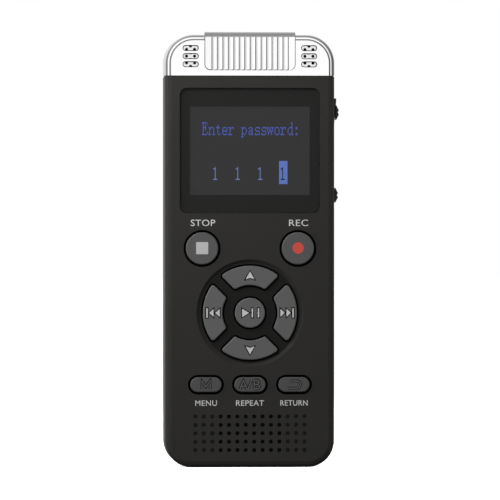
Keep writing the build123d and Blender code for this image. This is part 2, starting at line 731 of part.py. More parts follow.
def make_top_cap():
    """Plated cap: a hollow end piece with slots for the microphones and a seat for the trim."""
    with BuildPart() as cap:
        add(case_form(cap_profile, CAP_RISE, CAP_BORDER, CAP_FRONT_ROUND, CAP_BEVEL))
        with BuildSketch(facing(0, INNER_BACK_Y, 0)):
            cap_profile(WALL)
        extrude(amount=INNER_BACK_Y - INNER_FRONT_Y, mode=Mode.SUBTRACT)
        for side in (-1, 1):
            with BuildSketch(facing(side * MIC_X, FRONT_Y, MIC_Z)):
                with GridLocations(0, MIC_SLOT_PITCH, 1, 3):
                    SlotOverall(MIC_SLOT_LENGTH, MIC_SLOT_HEIGHT)
            extrude(amount=-WALL, mode=Mode.SUBTRACT)
        face = cap.faces().filter_by(Axis.Y).sort_by(Axis.Y)[0]
        slot_rims = [edge for wire in face.inner_wires() for edge in wire.edges()]
        chamfer(slot_rims, MIC_SLOT_BEVEL)
        for side in (-1, 1):
            with BuildSketch(facing(side * MIC_X, INNER_FRONT_Y, MIC_Z)):
                RectangleRounded(MIC_POCKET_SIZE, MIC_POCKET_SIZE, 1.0)
            extrude(amount=MIC_POCKET_DEPTH, mode=Mode.SUBTRACT)
        add(trim_form(TRIM_WIDTH + 2 * TRIM_GAP, TRIM_GAP), mode=Mode.SUBTRACT)
    return cap.part


# ================================================================ microphones
def make_mic_meshes():
    """Sheet behind each group of slots, with staggered holes."""
    across, up = MIC_HOLE_PITCH
    with BuildPart() as sheets:
        for side in (-1, 1):
            with BuildSketch(facing(side * MIC_X, MIC_MESH_BACK_Y, MIC_Z)):
                RectangleRounded(MIC_POCKET_SIZE - 0.1, MIC_POCKET_SIZE - 0.1, 0.95)
                with GridLocations(across, up, 2, 3):
                    Circle(MIC_HOLE_RADIUS, mode=Mode.SUBTRACT)
                with GridLocations(across, up, 3, 4):
                    Circle(MIC_HOLE_RADIUS, mode=Mode.SUBTRACT)
            extrude(amount=MIC_MESH_THICKNESS)
    return sheets.part


def make_mic_boots():
    """Rubber cup round each microphone, open towards the slots."""
    with BuildPart() as boots:
        with BuildSketch(facing(0, -2.1, MIC_CAPSULE_Z)):
            with Locations((-MIC_X, 0), (MIC_X, 0)):
                Circle(MIC_BOOT_RADIUS)
                Circle(MIC_CAPSULE_RADIUS, mode=Mode.SUBTRACT)
        extrude(amount=-2.1 - MIC_MESH_BACK_Y)
    return boots.part


def make_mic_capsules():
    """Electret microphones, each with a sound hole in front."""
    with BuildPart() as capsules:
        with BuildSketch(facing(0, -2.3, MIC_CAPSULE_Z)):
            with Locations((-MIC_X, 0), (MIC_X, 0)):
                Circle(MIC_CAPSULE_RADIUS)
        extrude(amount=2.4)
        front = capsules.faces().sort_by(Axis.Y)[:2]
        fillet(front.edges(), 0.2)
        with BuildSketch(facing(0, -4.7, MIC_CAPSULE_Z)):
            with Locations((-MIC_X, 0), (MIC_X, 0)):
                Circle(0.5)
        extrude(amount=-0.3, mode=Mode.SUBTRACT)
    return capsules.part


def make_mic_leads():
    """Two wires from each microphone round the top of the board to its back."""
    with BuildPart() as leads:
        for x in (-MIC_X - 0.6, -MIC_X + 0.6, MIC_X - 0.6, MIC_X + 0.6):
            with BuildLine() as route:
                FilletPolyline(
                    (x, -2.3, 91.2), (x, 0.9, 91.2), (x, 0.9, 84.8), (x, BOARD_BACK_Y, 84.8),
                    radius=[1.3, 0.4],
                )
            with BuildSketch(Plane(origin=route.line @ 0, z_dir=route.line % 0)):
                Circle(0.25)
            sweep(path=route.line)
    return leads.part


# ================================================================ display
def make_display_window():
    """Clear cover that fills the pocket in the front shell."""
    with BuildPart() as window:
        with BuildSketch(facing(0, FRONT_Y + WINDOW_SINK + WINDOW_THICKNESS, WINDOW_Z)):
            RectangleRounded(WINDOW_WIDTH, WINDOW_HEIGHT, WINDOW_CORNER)
        extrude(amount=WINDOW_THICKNESS)
        chamfer(window.faces().sort_by(Axis.Y)[0].edges(), 0.12)
    return window.part


def make_display_panel():
    """Display glass: a smaller front sheet bonded to the back sheet."""
    back_y = PANEL_FRONT_Y + PANEL_THICKNESS
    with BuildPart() as panel:
        with BuildSketch(facing(0, back_y, WINDOW_Z)):
            Rectangle(PANEL_WIDTH, PANEL_HEIGHT)
        extrude(amount=PANEL_THICKNESS / 2)
        with BuildSketch(facing(0, back_y - PANEL_THICKNESS / 2, WINDOW_Z + 0.8)):
            Rectangle(PANEL_WIDTH, PANEL_HEIGHT - 1.6)
        extrude(amount=PANEL_THICKNESS / 2)
    return panel.part


def make_display_frame():
    """Plastic frame that holds the panel off the board, open where the flex passes."""
    outer_width = PANEL_WIDTH + 2 * (FRAME_GAP + FRAME_WALL)
    outer_height = PANEL_HEIGHT + 2 * (FRAME_GAP + FRAME_WALL)
    panel_back = PANEL_FRONT_Y + PANEL_THICKNESS
    with BuildPart() as frame:
        with BuildSketch(facing(0, BOARD_FRONT_Y, WINDOW_Z)):
            Rectangle(outer_width, outer_height)
            Rectangle(PANEL_WIDTH + 2 * FRAME_GAP, PANEL_HEIGHT + 2 * FRAME_GAP,
                      mode=Mode.SUBTRACT)
        extrude(amount=BOARD_FRONT_Y - PANEL_FRONT_Y)
        with BuildSketch(facing(0, panel_back + 0.9, WINDOW_Z)):
            Rectangle(outer_width - 0.2, outer_height - 0.2)
            Rectangle(PANEL_WIDTH - 2 * FRAME_SHELF, PANEL_HEIGHT - 2 * FRAME_SHELF,
                      mode=Mode.SUBTRACT)
        extrude(amount=0.85)
        with BuildSketch(facing(0, 0, WINDOW_Z - outer_height / 2)):
            Rectangle(FLEX_WIDTH + 1, 2 * FRAME_WALL + 0.2)
        extrude(amount=8, mode=Mode.SUBTRACT)
    return frame.part


def make_display_flex():
    """Flat flexible cable from the panel's lower edge to its connector on the board."""
    panel_low = WINDOW_Z - PANEL_HEIGHT / 2
    start_y = PANEL_FRONT_Y + PANEL_THICKNESS - 0.4
    side = Plane(origin=(-FLEX_WIDTH / 2, 0, 0), x_dir=(0, 1, 0), z_dir=(1, 0, 0))
    with BuildPart() as flex:
        with BuildSketch(side):
            with BuildLine() as route:
                FilletPolyline(
                    (start_y, panel_low), (start_y, panel_low - 1.7),
                    (-1.9, panel_low - 1.7), (-1.9, 55.2),
                    radius=0.55,
                )
            trace(route.line, FLEX_THICKNESS)
        extrude(amount=FLEX_WIDTH)
    return flex.part


def make_flex_connector():
    """Connector that the display's flex plugs into."""
    with BuildPart() as connector:
        with BuildSketch(facing(0, BOARD_FRONT_Y, 53.9)):
            Rectangle(FLEX_WIDTH + 1.6, 2.6)
        extrude(amount=1.2)
        with BuildSketch(facing(0, BOARD_FRONT_Y - 1.2, 53.2)):
            Rectangle(FLEX_WIDTH + 0.8, 0.5)
        extrude(amount=-0.3, mode=Mode.SUBTRACT)
    return connector.part


# ================================================================ board and its parts
def make_main_board():
    """Circuit board, clamped by the screw posts, with a notch for the headphone jack."""
    with BuildPart() as board:
        with BuildSketch(facing(0, BOARD_BACK_Y, 0)):
            with Locations((0, (BOARD_LOW + BOARD_HIGH) / 2)):
                Rectangle(2 * BOARD_HALF_WIDTH, BOARD_HIGH - BOARD_LOW)
            fillet(vertices().group_by(Axis.Y)[0], BOARD_CORNER)
            with Locations(*screw_points()):
                Circle(SCREW_CLEAR_RADIUS, mode=Mode.SUBTRACT)
            with Locations((JACK_X, JACK_BODY_HIGH / 2)):
                Rectangle(JACK_BODY_SIZE[0] + 0.3, JACK_BODY_HIGH + 0.3, mode=Mode.SUBTRACT)
        extrude(amount=BOARD_THICKNESS)
    return board.part


def make_tact_switches():
    """Bodies of the ten tact switches, each with a bore that its stem moves in."""
    spots = list(switch_places().values())
    with BuildPart() as bodies:
        with BuildSketch(facing(0, BOARD_FRONT_Y, 0)):
            with Locations(*spots):
                RectangleRounded(TACT_SIZE, TACT_SIZE, 0.4)
        extrude(amount=BOARD_FRONT_Y - TACT_FRONT_Y)
        with BuildSketch(facing(0, TACT_BORE_FLOOR_Y, 0)):
            with Locations(*spots):
                Circle(TACT_BORE_RADIUS)
        extrude(amount=TACT_BORE_FLOOR_Y - TACT_FRONT_Y, mode=Mode.SUBTRACT)
    return bodies.part


def make_chip(width, height, thickness, x, z, leads_each_side, lead_pitch):
    """Chip on the back of the board, with a row of leads along its left and right sides."""
    with BuildPart() as chip:
        with BuildSketch(facing(x, BOARD_BACK_Y + 0.1, z)):
            Rectangle(width, height)
        extrude(amount=-thickness)
        with BuildSketch(facing(x, BOARD_BACK_Y + thickness, z)):
            with Locations((-width / 2 + 0.8, height / 2 - 0.8)):
                Circle(0.3)
        extrude(amount=-0.2, mode=Mode.SUBTRACT)
        with BuildSketch(facing(x, BOARD_BACK_Y, z)):
            with GridLocations(width, lead_pitch, 2, leads_each_side):
                Rectangle(1.2, 0.25)
        extrude(amount=-0.3)
    return chip.part


def make_crystal():
    """Crystal oscillator can."""
    with BuildPart() as can:
        with BuildSketch(facing(-9.5, BOARD_BACK_Y, 82.5)):
            RectangleRounded(3.2, 2.5, 0.4)
        extrude(amount=-0.8)
        fillet(can.faces().sort_by(Axis.Y)[-1].edges(), 0.15)
    return can.part


# ================================================================ sliders
def make_slide_switches():
    """Bodies of the two slide switches, each with a slot that its lever moves in."""
    with BuildPart() as bodies:
        for centre in (RECORD_SLIDE_Z, HOLD_SLIDE_Z):
            middle = centre - SLIDE_TRAVEL / 2
            body_x = SWITCH_BODY_FACE_X - SWITCH_BODY_DEPTH / 2
            with BuildSketch(facing(body_x, BOARD_BACK_Y, middle)):
                Rectangle(SWITCH_BODY_DEPTH, SWITCH_BODY_LENGTH)
            extrude(amount=-SWITCH_BODY_THICKNESS)
            with BuildSketch(facing(SWITCH_BODY_FACE_X - 0.6, SLIDE_Y - 0.45, middle)):
                Rectangle(1.4, LEVER_LENGTH + SLIDE_TRAVEL + 0.2)
            extrude(amount=-0.9, mode=Mode.SUBTRACT)
    return bodies.part


def make_lever(centre):
    """Lever of a slide switch, which the knob carries along."""
    inner_x = SWITCH_BODY_FACE_X - 1.1
    with BuildPart() as lever:
        with BuildSketch(facing((inner_x + LEVER_TIP_X) / 2, SLIDE_Y - 0.4, centre)):
            Rectangle(LEVER_TIP_X - inner_x, LEVER_LENGTH)
        extrude(amount=-0.8)
    return lever.part


def make_knob(centre, seat):
    """Slider: a thumb piece with two ridges, a neck through the wall, and a flange with a
    pocket that grips the lever. seat is how far its underside stands off the side."""
    underside = SIDE_X + seat
    half = KNOB_LENGTH / 2
    with BuildPart() as knob:
        with BuildSketch(facing(0, SLIDE_Y + KNOB_WIDTH / 2, centre)):
            Polygon(
                (underside, -half), (underside, half), (underside + 0.12, half),
                (underside + 0.5, 0.85), (underside + 0.7, 0.52), (underside + 0.48, 0.1),
                (underside + 0.48, -0.1), (underside + 0.7, -0.52), (underside + 0.5, -0.85),
                (underside + 0.12, -half), align=None,
            )
        extrude(amount=KNOB_WIDTH)
        ends = knob.edges().filter_by(Axis.X).group_by(Axis.X)[0]
        fillet(ends, 0.1)
        with BuildSketch(Plane(origin=(KNOB_FLANGE_X, SLIDE_Y, centre), x_dir=(0, 1, 0),
                               z_dir=(1, 0, 0))):
            Rectangle(NECK_WIDTH, NECK_LENGTH)
        extrude(amount=underside - KNOB_FLANGE_X + 0.1)
        with BuildSketch(Plane(origin=(KNOB_FLANGE_X, SLIDE_Y, centre), x_dir=(0, 1, 0),
                               z_dir=(1, 0, 0))):
            Rectangle(NECK_WIDTH + 1.0, NECK_LENGTH + 1.2)
        extrude(amount=KNOB_FLANGE_THICKNESS)
        with BuildSketch(Plane(origin=(KNOB_FLANGE_X, SLIDE_Y, centre), x_dir=(0, 1, 0),
                               z_dir=(1, 0, 0))):
            Rectangle(0.86, LEVER_LENGTH + 0.06)
        extrude(amount=LEVER_TIP_X - KNOB_FLANGE_X + 0.05, mode=Mode.SUBTRACT)
    return knob.part


def make_record_slider_plate():
    """Wedge-shaped plate let into the right edge, highest at its upper end."""
    slot_length = NECK_LENGTH + SLIDE_TRAVEL + 2 * SLOT_CLEARANCE
    middle = (PLATE_LOW + PLATE_HIGH) / 2
    inner_x = SIDE_X - PLATE_SINK
    side = Plane(origin=(inner_x, SLIDE_Y, middle), x_dir=(0, 1, 0), z_dir=(1, 0, 0))
    with BuildPart() as plate:
        with BuildSketch(side):
            RectangleRounded(PLATE_WIDTH, PLATE_HIGH - PLATE_LOW, 1.0)
        extrude(amount=PLATE_SINK + PLATE_RISE)
        with BuildSketch(facing(0, SLIDE_Y + PLATE_WIDTH, 0)):
            Polygon(
                (SIDE_X + PLATE_RISE, PLATE_HIGH), (SIDE_X + 2, PLATE_HIGH),
                (SIDE_X + 2, PLATE_LOW - 1), (SIDE_X, PLATE_LOW - 1),
                (SIDE_X + 0.02, PLATE_LOW), align=None,
            )
        extrude(amount=2 * PLATE_WIDTH, mode=Mode.SUBTRACT)
        with BuildSketch(side):
            with Locations((0, RECORD_SLIDE_Z - SLIDE_TRAVEL / 2 - middle)):
                Rectangle(NECK_WIDTH + 2 * SLOT_CLEARANCE, slot_length)
        extrude(amount=PLATE_SINK + PLATE_RISE, mode=Mode.SUBTRACT)
    return plate.part


# ================================================================ loudspeaker
def speaker_outline(shrink):
    """Outline of the loudspeaker, drawn in from its rim."""
    RectangleRounded(SPEAKER_WIDTH - 2 * shrink, SPEAKER_HEIGHT - 2 * shrink,
                     SPEAKER_CORNER - shrink)


def make_speaker_frame():
    """Basket of the loudspeaker."""
    with BuildPart() as basket:
        with BuildSketch(facing(0, SPEAKER_BACK_Y - 1.2, SPEAKER_Z)):
            speaker_outline(0)
        extrude(amount=SPEAKER_BACK_Y - 1.2 - SPEAKER_FRONT_Y)
        with BuildSketch(facing(0, SPEAKER_BACK_Y - 1.2, SPEAKER_Z)):
            speaker_outline(0.8)
        extrude(amount=1.1, mode=Mode.SUBTRACT)
        with BuildSketch(facing(0, SPEAKER_BACK_Y - 2.3, SPEAKER_Z)):
            speaker_outline(1.4)
        extrude(amount=1, mode=Mode.SUBTRACT)
    return basket.part


def make_speaker_cone():
    """Diaphragm with a raised middle, set in the basket."""
    with BuildPart() as cone:
        with BuildSketch(facing(0, SPEAKER_BACK_Y - 2.35, SPEAKER_Z)):
            speaker_outline(1.45)
        extrude(amount=0.2)
        with BuildSketch(facing(0, SPEAKER_BACK_Y - 2.55, SPEAKER_Z)):
            speaker_outline(2.8)
        extrude(amount=0.3, taper=35)
    return cone.part


def make_speaker_magnet():
    """Magnet and back plate."""
    with BuildPart() as magnet:
        with BuildSketch(facing(0, SPEAKER_BACK_Y - 0.1, SPEAKER_Z)):
            RectangleRounded(14.0, 6.0, 1.0)
        extrude(amount=1.1)
        with BuildSketch(facing(0, SPEAKER_BACK_Y - 1.2, SPEAKER_Z)):
            RectangleRounded(12.0, 4.6, 0.8)
        extrude(amount=0.9)
    return magnet.part


def make_speaker_gasket():
    """Foam ring that seals the loudspeaker against the cloth."""
    with BuildPart() as gasket:
        with BuildSketch(facing(0, SPEAKER_FRONT_Y, SPEAKER_Z)):
            speaker_outline(0)
            Rectangle(SPEAKER_WIDTH - 3.2, SPEAKER_HEIGHT - 3.2, mode=Mode.SUBTRACT)
        extrude(amount=SPEAKER_FRONT_Y - (INNER_FRONT_Y + 0.12))
    return gasket.part


def make_speaker_cloth():
    """Dust cloth behind the holes."""
    with BuildPart() as cloth:
        with BuildSketch(facing(0, INNER_FRONT_Y + 0.12, SPEAKER_Z)):
            speaker_outline(0)
        extrude(amount=0.12)
    return cloth.part


def make_speaker_leads():
    """Two wires from the loudspeaker's end to the front of the board."""
    with BuildPart() as leads:
        for x in (9.0, 10.4):
            with BuildLine() as route:
                FilletPolyline(
                    (x, -2.7, SPEAKER_Z + 1.2), (x, -2.1, SPEAKER_Z + 1.2),
                    (x, -2.1, SPEAKER_Z + 3.4), (x, BOARD_FRONT_Y, SPEAKER_Z + 3.4),
                    radius=0.25,
                )
            with BuildSketch(Plane(origin=route.line @ 0, z_dir=route.line % 0)):
                Circle(0.2)
            sweep(path=route.line)
    return leads.part


# ================================================================ sockets
def make_headphone_jack():
    """Headphone jack: a block with a round nose and a bore for a 3.5 mm plug."""
    middle = (JACK_BODY_LOW + JACK_BODY_HIGH) / 2
    with BuildPart() as jack:
        with BuildSketch(Plane.XY.offset(JACK_BODY_LOW)):
            with Locations((JACK_X, JACK_Y)):
                Rectangle(*JACK_BODY_SIZE)
        extrude(amount=JACK_BODY_HIGH - JACK_BODY_LOW)
        chamfer(jack.edges().filter_by(Axis.Z), 0.3)
        with BuildSketch(Plane.XY.offset(JACK_NOSE_END)):
            with Locations((JACK_X, JACK_Y)):
                Circle(JACK_NOSE_RADIUS)
        extrude(amount=JACK_BODY_LOW - JACK_NOSE_END)
        with BuildSketch(Plane.XY.offset(JACK_NOSE_END)):
            with Locations((JACK_X, JACK_Y)):
                Circle(JACK_BORE_RADIUS)
        extrude(amount=JACK_BORE_LENGTH, mode=Mode.SUBTRACT)
        # windows in the block's sides for the spring contacts
        for side in (-1, 1):
            with BuildSketch(facing(JACK_X + side * JACK_BODY_SIZE[0] / 2, JACK_Y + 0.6, middle)):
                Rectangle(0.9, 6.0)
            extrude(amount=1.2, mode=Mode.SUBTRACT)
    return jack.part


def make_jack_contacts():
    """Spring contacts in the windows of the jack."""
    middle = (JACK_BODY_LOW + JACK_BODY_HIGH) / 2
    with BuildPart() as contacts:
        for side in (-1, 1):
            centre_x = JACK_X + side * (JACK_BODY_SIZE[0] / 2 - 0.24)
            with BuildSketch(facing(centre_x, JACK_Y + 0.5, middle)):
                Rectangle(0.3, 5.6)
            extrude(amount=1.0)
    return contacts.part


def make_usb_port():
    """Metal shell of the USB port: a tube with a closed inner end."""
    with BuildPart() as port:
        with BuildSketch(Plane.XY.offset(USB_LOW)):
            with Locations((USB_X, USB_Y)):
                RectangleRounded(*USB_SIZE, 0.6)
        extrude(amount=USB_HIGH - USB_LOW)
        with BuildSketch(Plane.XY.offset(USB_LOW)):
            with Locations((USB_X, USB_Y)):
                RectangleRounded(USB_SIZE[0] - 2 * USB_SKIN, USB_SIZE[1] - 2 * USB_SKIN, 0.4)
        extrude(amount=USB_HIGH - USB_LOW - USB_SKIN, mode=Mode.SUBTRACT)
    return port.part


def make_usb_tongue():
    """Insulating tongue inside the port, with its contacts' carrier at the inner end."""
    inner_end = USB_HIGH - USB_SKIN
    with BuildPart() as tongue:
        with BuildSketch(Plane.XY.offset(inner_end - 1.2)):
            with Locations((USB_X, USB_Y)):
                Rectangle(USB_SIZE[0] - 2 * USB_SKIN - 0.4, USB_SIZE[1] - 2 * USB_SKIN - 0.1)
        extrude(amount=1.2)
        with BuildSketch(Plane.XY.offset(USB_LOW + 0.5)):
            with Locations((USB_X, USB_Y + 0.25)):
                Rectangle(4.6, 0.6)
        extrude(amount=inner_end - 1.2 - USB_LOW - 0.5)
    return tongue.part


# ================================================================ battery
def make_battery_cell():
    """Pouch cell with a folded edge strip at its upper end."""
    mid_z = (BATTERY_LOW + BATTERY_HIGH) / 2
    with BuildPart() as cell:
        with BuildSketch(facing(0, BATTERY_BACK_Y, mid_z)):
            Rectangle(BATTERY_WIDTH, BATTERY_HIGH - BATTERY_LOW)
        extrude(amount=BATTERY_BACK_Y - BATTERY_FRONT_Y)
        fillet(cell.edges().filter_by(Axis.Z), 1.4)
        with BuildSketch(facing(0, BATTERY_FRONT_Y + 1.6, BATTERY_HIGH + 0.9)):
            Rectangle(BATTERY_WIDTH - 4, 1.8)
        extrude(amount=1.2)
    return cell.part


def make_battery_tape():
    """Foam tape between the cell and the rear shell."""
    with BuildPart() as tape:
        with BuildSketch(facing(0, INNER_BACK_Y, (BATTERY_LOW + BATTERY_HIGH) / 2)):
            RectangleRounded(24.0, 26.0, 1.0)
        extrude(amount=INNER_BACK_Y - BATTERY_BACK_Y)
    return tape.part


def make_battery_leads():
    """Two wires from the cell's upper end to its connector."""
    start_z = BATTERY_HIGH + 1.8
    with BuildPart() as leads:
        for x in (2.4, 4.4):
            with BuildLine() as route:
                FilletPolyline(
                    (x, 1.2, start_z), (x, 1.2, start_z + 1.6), (x, 2.4, start_z + 2.8),
                    (x, 1.0, start_z + 4.4), (x, 1.0, start_z + 5.6),
                    radius=[0.8, 0.9, 0.8],
                )
            with BuildSketch(Plane(origin=route.line @ 0, z_dir=route.line % 0)):
                Circle(0.45)
            sweep(path=route.line)
    return leads.part


def make_battery_connector():
    """Plug and header that join the battery's wires to the board."""
    with BuildPart() as connector:
        with BuildSketch(facing(3.4, BOARD_BACK_Y, BATTERY_HIGH + 1.8 + 5.6 + 2.0)):
            Rectangle(6.0, 4.0)
        extrude(amount=-2.6)
        chamfer(connector.edges().filter_by(Axis.Y), 0.3)
    return connector.part


# ================================================================ screws
def make_housing_screws():
    """Four screws driven from behind, through the board into the front shell's posts."""
    head_back = BACK_Y - COUNTERBORE_DEPTH + SCREW_HEAD_THICKNESS
    head_front = BACK_Y - COUNTERBORE_DEPTH
    with BuildPart() as screws:
        with BuildSketch(facing(0, head_back, 0)):
            with Locations(*screw_points()):
                Circle(SCREW_HEAD_RADIUS)
        extrude(amount=SCREW_HEAD_THICKNESS)
        fillet(screws.edges().filter_by(GeomType.CIRCLE).group_by(Axis.Y)[-1], 0.35)
        with BuildSketch(facing(0, head_back, 0)):
            with Locations(*screw_points()):
                Rectangle(1.7, 0.42)
                Rectangle(0.42, 1.7)
        extrude(amount=0.55, mode=Mode.SUBTRACT)
        with BuildSketch(facing(0, head_front, 0)):
            with Locations(*screw_points()):
                Circle(SCREW_SHANK_RADIUS)
        extrude(amount=head_front - BOARD_FRONT_Y)
        with BuildSketch(facing(0, BOARD_FRONT_Y, 0)):
            with Locations(*screw_points()):
                Circle(SCREW_TIP_RADIUS)
        extrude(amount=BOARD_FRONT_Y - SCREW_TIP_Y)
    return screws.part


# ================================================================ build
def main():
    os.makedirs("parts", exist_ok=True)
    save(make_front_housing(), "front_housing")
    save(make_rear_housing(), "rear_housing")
    save(make_top_cap(), "top_cap")
    save(make_top_trim(), "top_trim")
    save(make_mic_meshes(), "mic_meshes")
    save(make_mic_boots(), "mic_boots")
    save(make_mic_capsules(), "mic_capsules")
    save(make_mic_leads(), "mic_leads")
    save(make_display_window(), "display_window")
    save(make_display_panel(), "display_panel")
    save(make_display_frame(), "display_frame")
    save(make_display_flex(), "display_flex")
    save(make_flex_connector(), "flex_connector")
    save(make_main_board(), "main_board")
    save(make_tact_switches(), "tact_switches")
    save(make_chip(9.0, 9.0, 1.0, -3.0, 76.0, 9, 0.8), "processor_chip")
    save(make_chip(12.0, 8.0, 1.1, -6.6, 64.5, 8, 0.8), "memory_chip")
    save(make_crystal(), "crystal")
    save(make_slide_switches(), "slide_switches")
    save(make_record_slider_plate(), "record_slider_plate")
    save(make_speaker_frame(), "speaker_frame")
    save(make_speaker_cone(), "speaker_cone")
    save(make_speaker_magnet(), "speaker_magnet")
    save(make_speaker_gasket(), "speaker_gasket")
    save(make_speaker_cloth(), "speaker_cloth")
    save(make_speaker_leads(), "speaker_leads")
    save(make_headphone_jack(), "headphone_jack")
    save(make_jack_contacts(), "jack_contacts")
    save(make_usb_port(), "usb_port")
    save(make_usb_tongue(), "usb_tongue")
    save(make_battery_cell(), "battery_cell")
    save(make_battery_tape(), "battery_tape")
    save(make_battery_leads(), "battery_leads")
    save(make_battery_connector(), "battery_connector")
    save(make_housing_screws(), "housing_screws")
    spots = switch_places()
    for name, (profile, gap, x, z, top_y, turn, icon, reach) in KEYS.items():
        save(make_key(profile, gap, x, z, top_y, turn, icon, reach), f"{name}_button")
        save(make_stem(*spots[name]), f"{name}_key_stem")
    for name, centre, seat in (
        ("record", RECORD_SLIDE_Z, RECORD_SEAT),
        ("hold", HOLD_SLIDE_Z, HOLD_SEAT),
    ):
        save(make_knob(centre, seat), f"{name}_slider")
        save(make_lever(centre), f"{name}_slider_lever")


main()
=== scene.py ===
"""Looks of the handheld voice recorder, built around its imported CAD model.

The row frame is the CAD's: z = 0 at the lower end, the keys face -Y, the sliders face +X.
Lengths are millimetres in the constants and become metres where a mesh or a shader is made.
"""
import json
import math

import bmesh
import bpy
from mathutils import Matrix, Vector


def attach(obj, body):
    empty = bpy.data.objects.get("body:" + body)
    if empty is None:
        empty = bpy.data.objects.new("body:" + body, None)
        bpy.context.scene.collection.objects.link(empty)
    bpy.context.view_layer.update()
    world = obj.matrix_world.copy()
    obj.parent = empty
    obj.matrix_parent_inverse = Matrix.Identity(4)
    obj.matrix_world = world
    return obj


MM = 0.001

# ---------------------------------------------------------------- camera and studio
VIEW_AZIMUTH = -3.6
VIEW_ELEVATION = 0.5
VIEW_DISTANCE = 1200.0
VIEW_CENTRE = (0.0, -6.4, 48.95)
# height of what the square picture shows, at that distance
VIEW_HEIGHT = 112.5
SENSOR = 36.0
FLOOR_RADIUS = 3000.0
# how bright the studio is from in front of the object (0) to behind it (1)
STUDIO_LEVELS = ((0.0, 1.08), (0.024, 1.05), (0.085, 0.5), (0.21, 0.15), (0.5, 0.18), (1.0, 0.7))
STUDIO_TILTS = {"X": -0.45, "Z": 0.8}
# place, width, radiance
LIGHTS = {
    "key_light": ((-70, -100, 160), 70, 20.0),
    "left_light": ((-300, -60, 90), 160, 13.5),
    "right_light": ((300, 30, 120), 160, 12.0),
    "back_light": ((120, 300, 200), 160, 12.0),
}

# ---------------------------------------------------------------- finishes
CASE_COLOR = (0.0185, 0.0179, 0.0168)
CASE_SPECULAR = 0.08
# painted shade: how dark the dish round the pad is, as a share of the case colour
DISH_SHADE = 0.42
# painted shade: how dark the gaps round the keys and the keys' sides are, as a share of their
# plastic's colour
GAP_SHADE = 0.03
KEY_SPECULAR = 0.3
KEY_GREYS = {"round_key": 0.05, "pad_key": 0.066, "pill_key": 0.042}
KEY_GREY = 0.058
KEY_KINDS = {
    "stop": "round_key",
    "record": "round_key",
    "up": "pad_key",
    "previous": "pad_key",
    "down": "pad_key",
    "next": "pad_key",
    "play": "pad_key",
    "menu": "pill_key",
    "repeat": "pill_key",
    "return": "pill_key",
}
WINDOW_IOR = 1.5
# the share that bare acrylic mirrors head on, which the window's coating takes away
WINDOW_HEAD_ON = 0.0415

# ---------------------------------------------------------------- places on the front
FACE_Y = -6.4
PRINT_HEIGHT = 0.012
PRINT_DEPTH = 0.01
MIC_X = 13.35
MIC_Z = 92.55
WINDOW_BACK_Y = -5.55
MASK_SIZE = (31.2, 27.8)
MASK_CORNER = 1.5
MASK_OPENING = (27.0, 19.9)
MASK_OPENING_CORNER = 0.15
MASK_THICKNESS = 0.04
DISPLAY_Z = 71.3
DISPLAY_SIZE = (27.8, 20.7)
DISPLAY_Y = -5.01
DISPLAY_THICKNESS = 0.008

TEXT_LEFT = -10.75
TEXT_BASELINE = 74.8
DIGIT_BASELINE = 64.72
DIGIT_CENTRES = (-7.75, -2.68, 2.39, 7.46)
PIXEL_WIDTH = 0.184
PIXEL_HEIGHT = 0.262
CELL_COLUMNS = 8
HIGHLIGHT_BOX = (6.66, 8.55, 63.8, 69.0)

ROUND_KEY_X = 10.8
ROUND_KEY_TOP_Y = -6.85
MARK_Z = 49.38
STOP_MARK = 2.72
STOP_MARK_CORNER = 0.18
RECORD_MARK = 1.27
PAD_Z = 34.8
PAD_DISH_RADIUS = 12.06
PAD_ICON_RADIUS = 8.45
PAD_TOP_Y = -6.6
PILL_PITCH = 9.92
PILL_Z = 18.65
PILL_TOP_Y = -6.75
BAR_WIDTH = 0.56

# an icon is a recess of this depth with a black floor, painted shade for its groove, and a paler
# filling
ICON_DEPTH = 0.12
ICON_BASE = 0.03
# how far the floor, painted shade, reaches past the icon's outline, and the filling stays inside it
ICON_RIM = 0.09
ICON_INSET = 0.12
# pens that draw the painted-shade floor and the filling of the icons on the pill keys
ICON_STROKE = 0.62
ICON_FILL_STROKE = 0.26
# how far the filling lies below the key's top, and strokes that cross lie apart
ICON_SHY = 0.015
ICON_STEP = 0.002

# ---------------------------------------------------------------- where finishes and painted shade change
# each from one end of the change to the other, in mm, except the first
# painted shade fills the dish inside the first share of its radius and is gone by the second
DISH_SHADE_RIM = (0.92, 0.94)  # of the dish's radius
DISH_OUTSIDE = (PAD_DISH_RADIUS, 1.01 * PAD_DISH_RADIUS)
FACE_GAP_Y = (FACE_Y + 0.05, FACE_Y + 0.12)
DISH_GAP_Y = (-5.87, -5.82)
KEYS_ASIDE = (17.0, 17.2)
KEYS_TOP = (55.5, 55.7)
KEYS_FOOT = (15.0, 14.8)
KEY_SIDE_Y = (-6.4, -6.3)
SLOT_WALL_Y = (FACE_Y + 0.01, FACE_Y + 0.03)
SLOT_END_Y = (-5.0, -4.8)
SLOT_REACH = (2.6, 2.7)
TRIM_BEND_Z = (96.75, 96.95)
FELT_END_Y = (-4.5, -4.3)

# text, centre x, cap foot z, width, cap height, boldness
LABELS = {
    "stop_label": ("STOP", -10.6, 54.34, 5.5, 1.44, 0.0),
    "record_label": ("REC", 10.95, 54.34, 4.3, 1.44, 0.0),
    "menu_label": ("MENU", -9.9, 13.9, 4.86, 1.22, 0.0),
    "repeat_label": ("REPEAT", 0.0, 13.9, 6.3, 1.22, 0.006),
    "return_label": ("RETURN", 9.92, 13.9, 6.16, 1.22, 0.006),
}

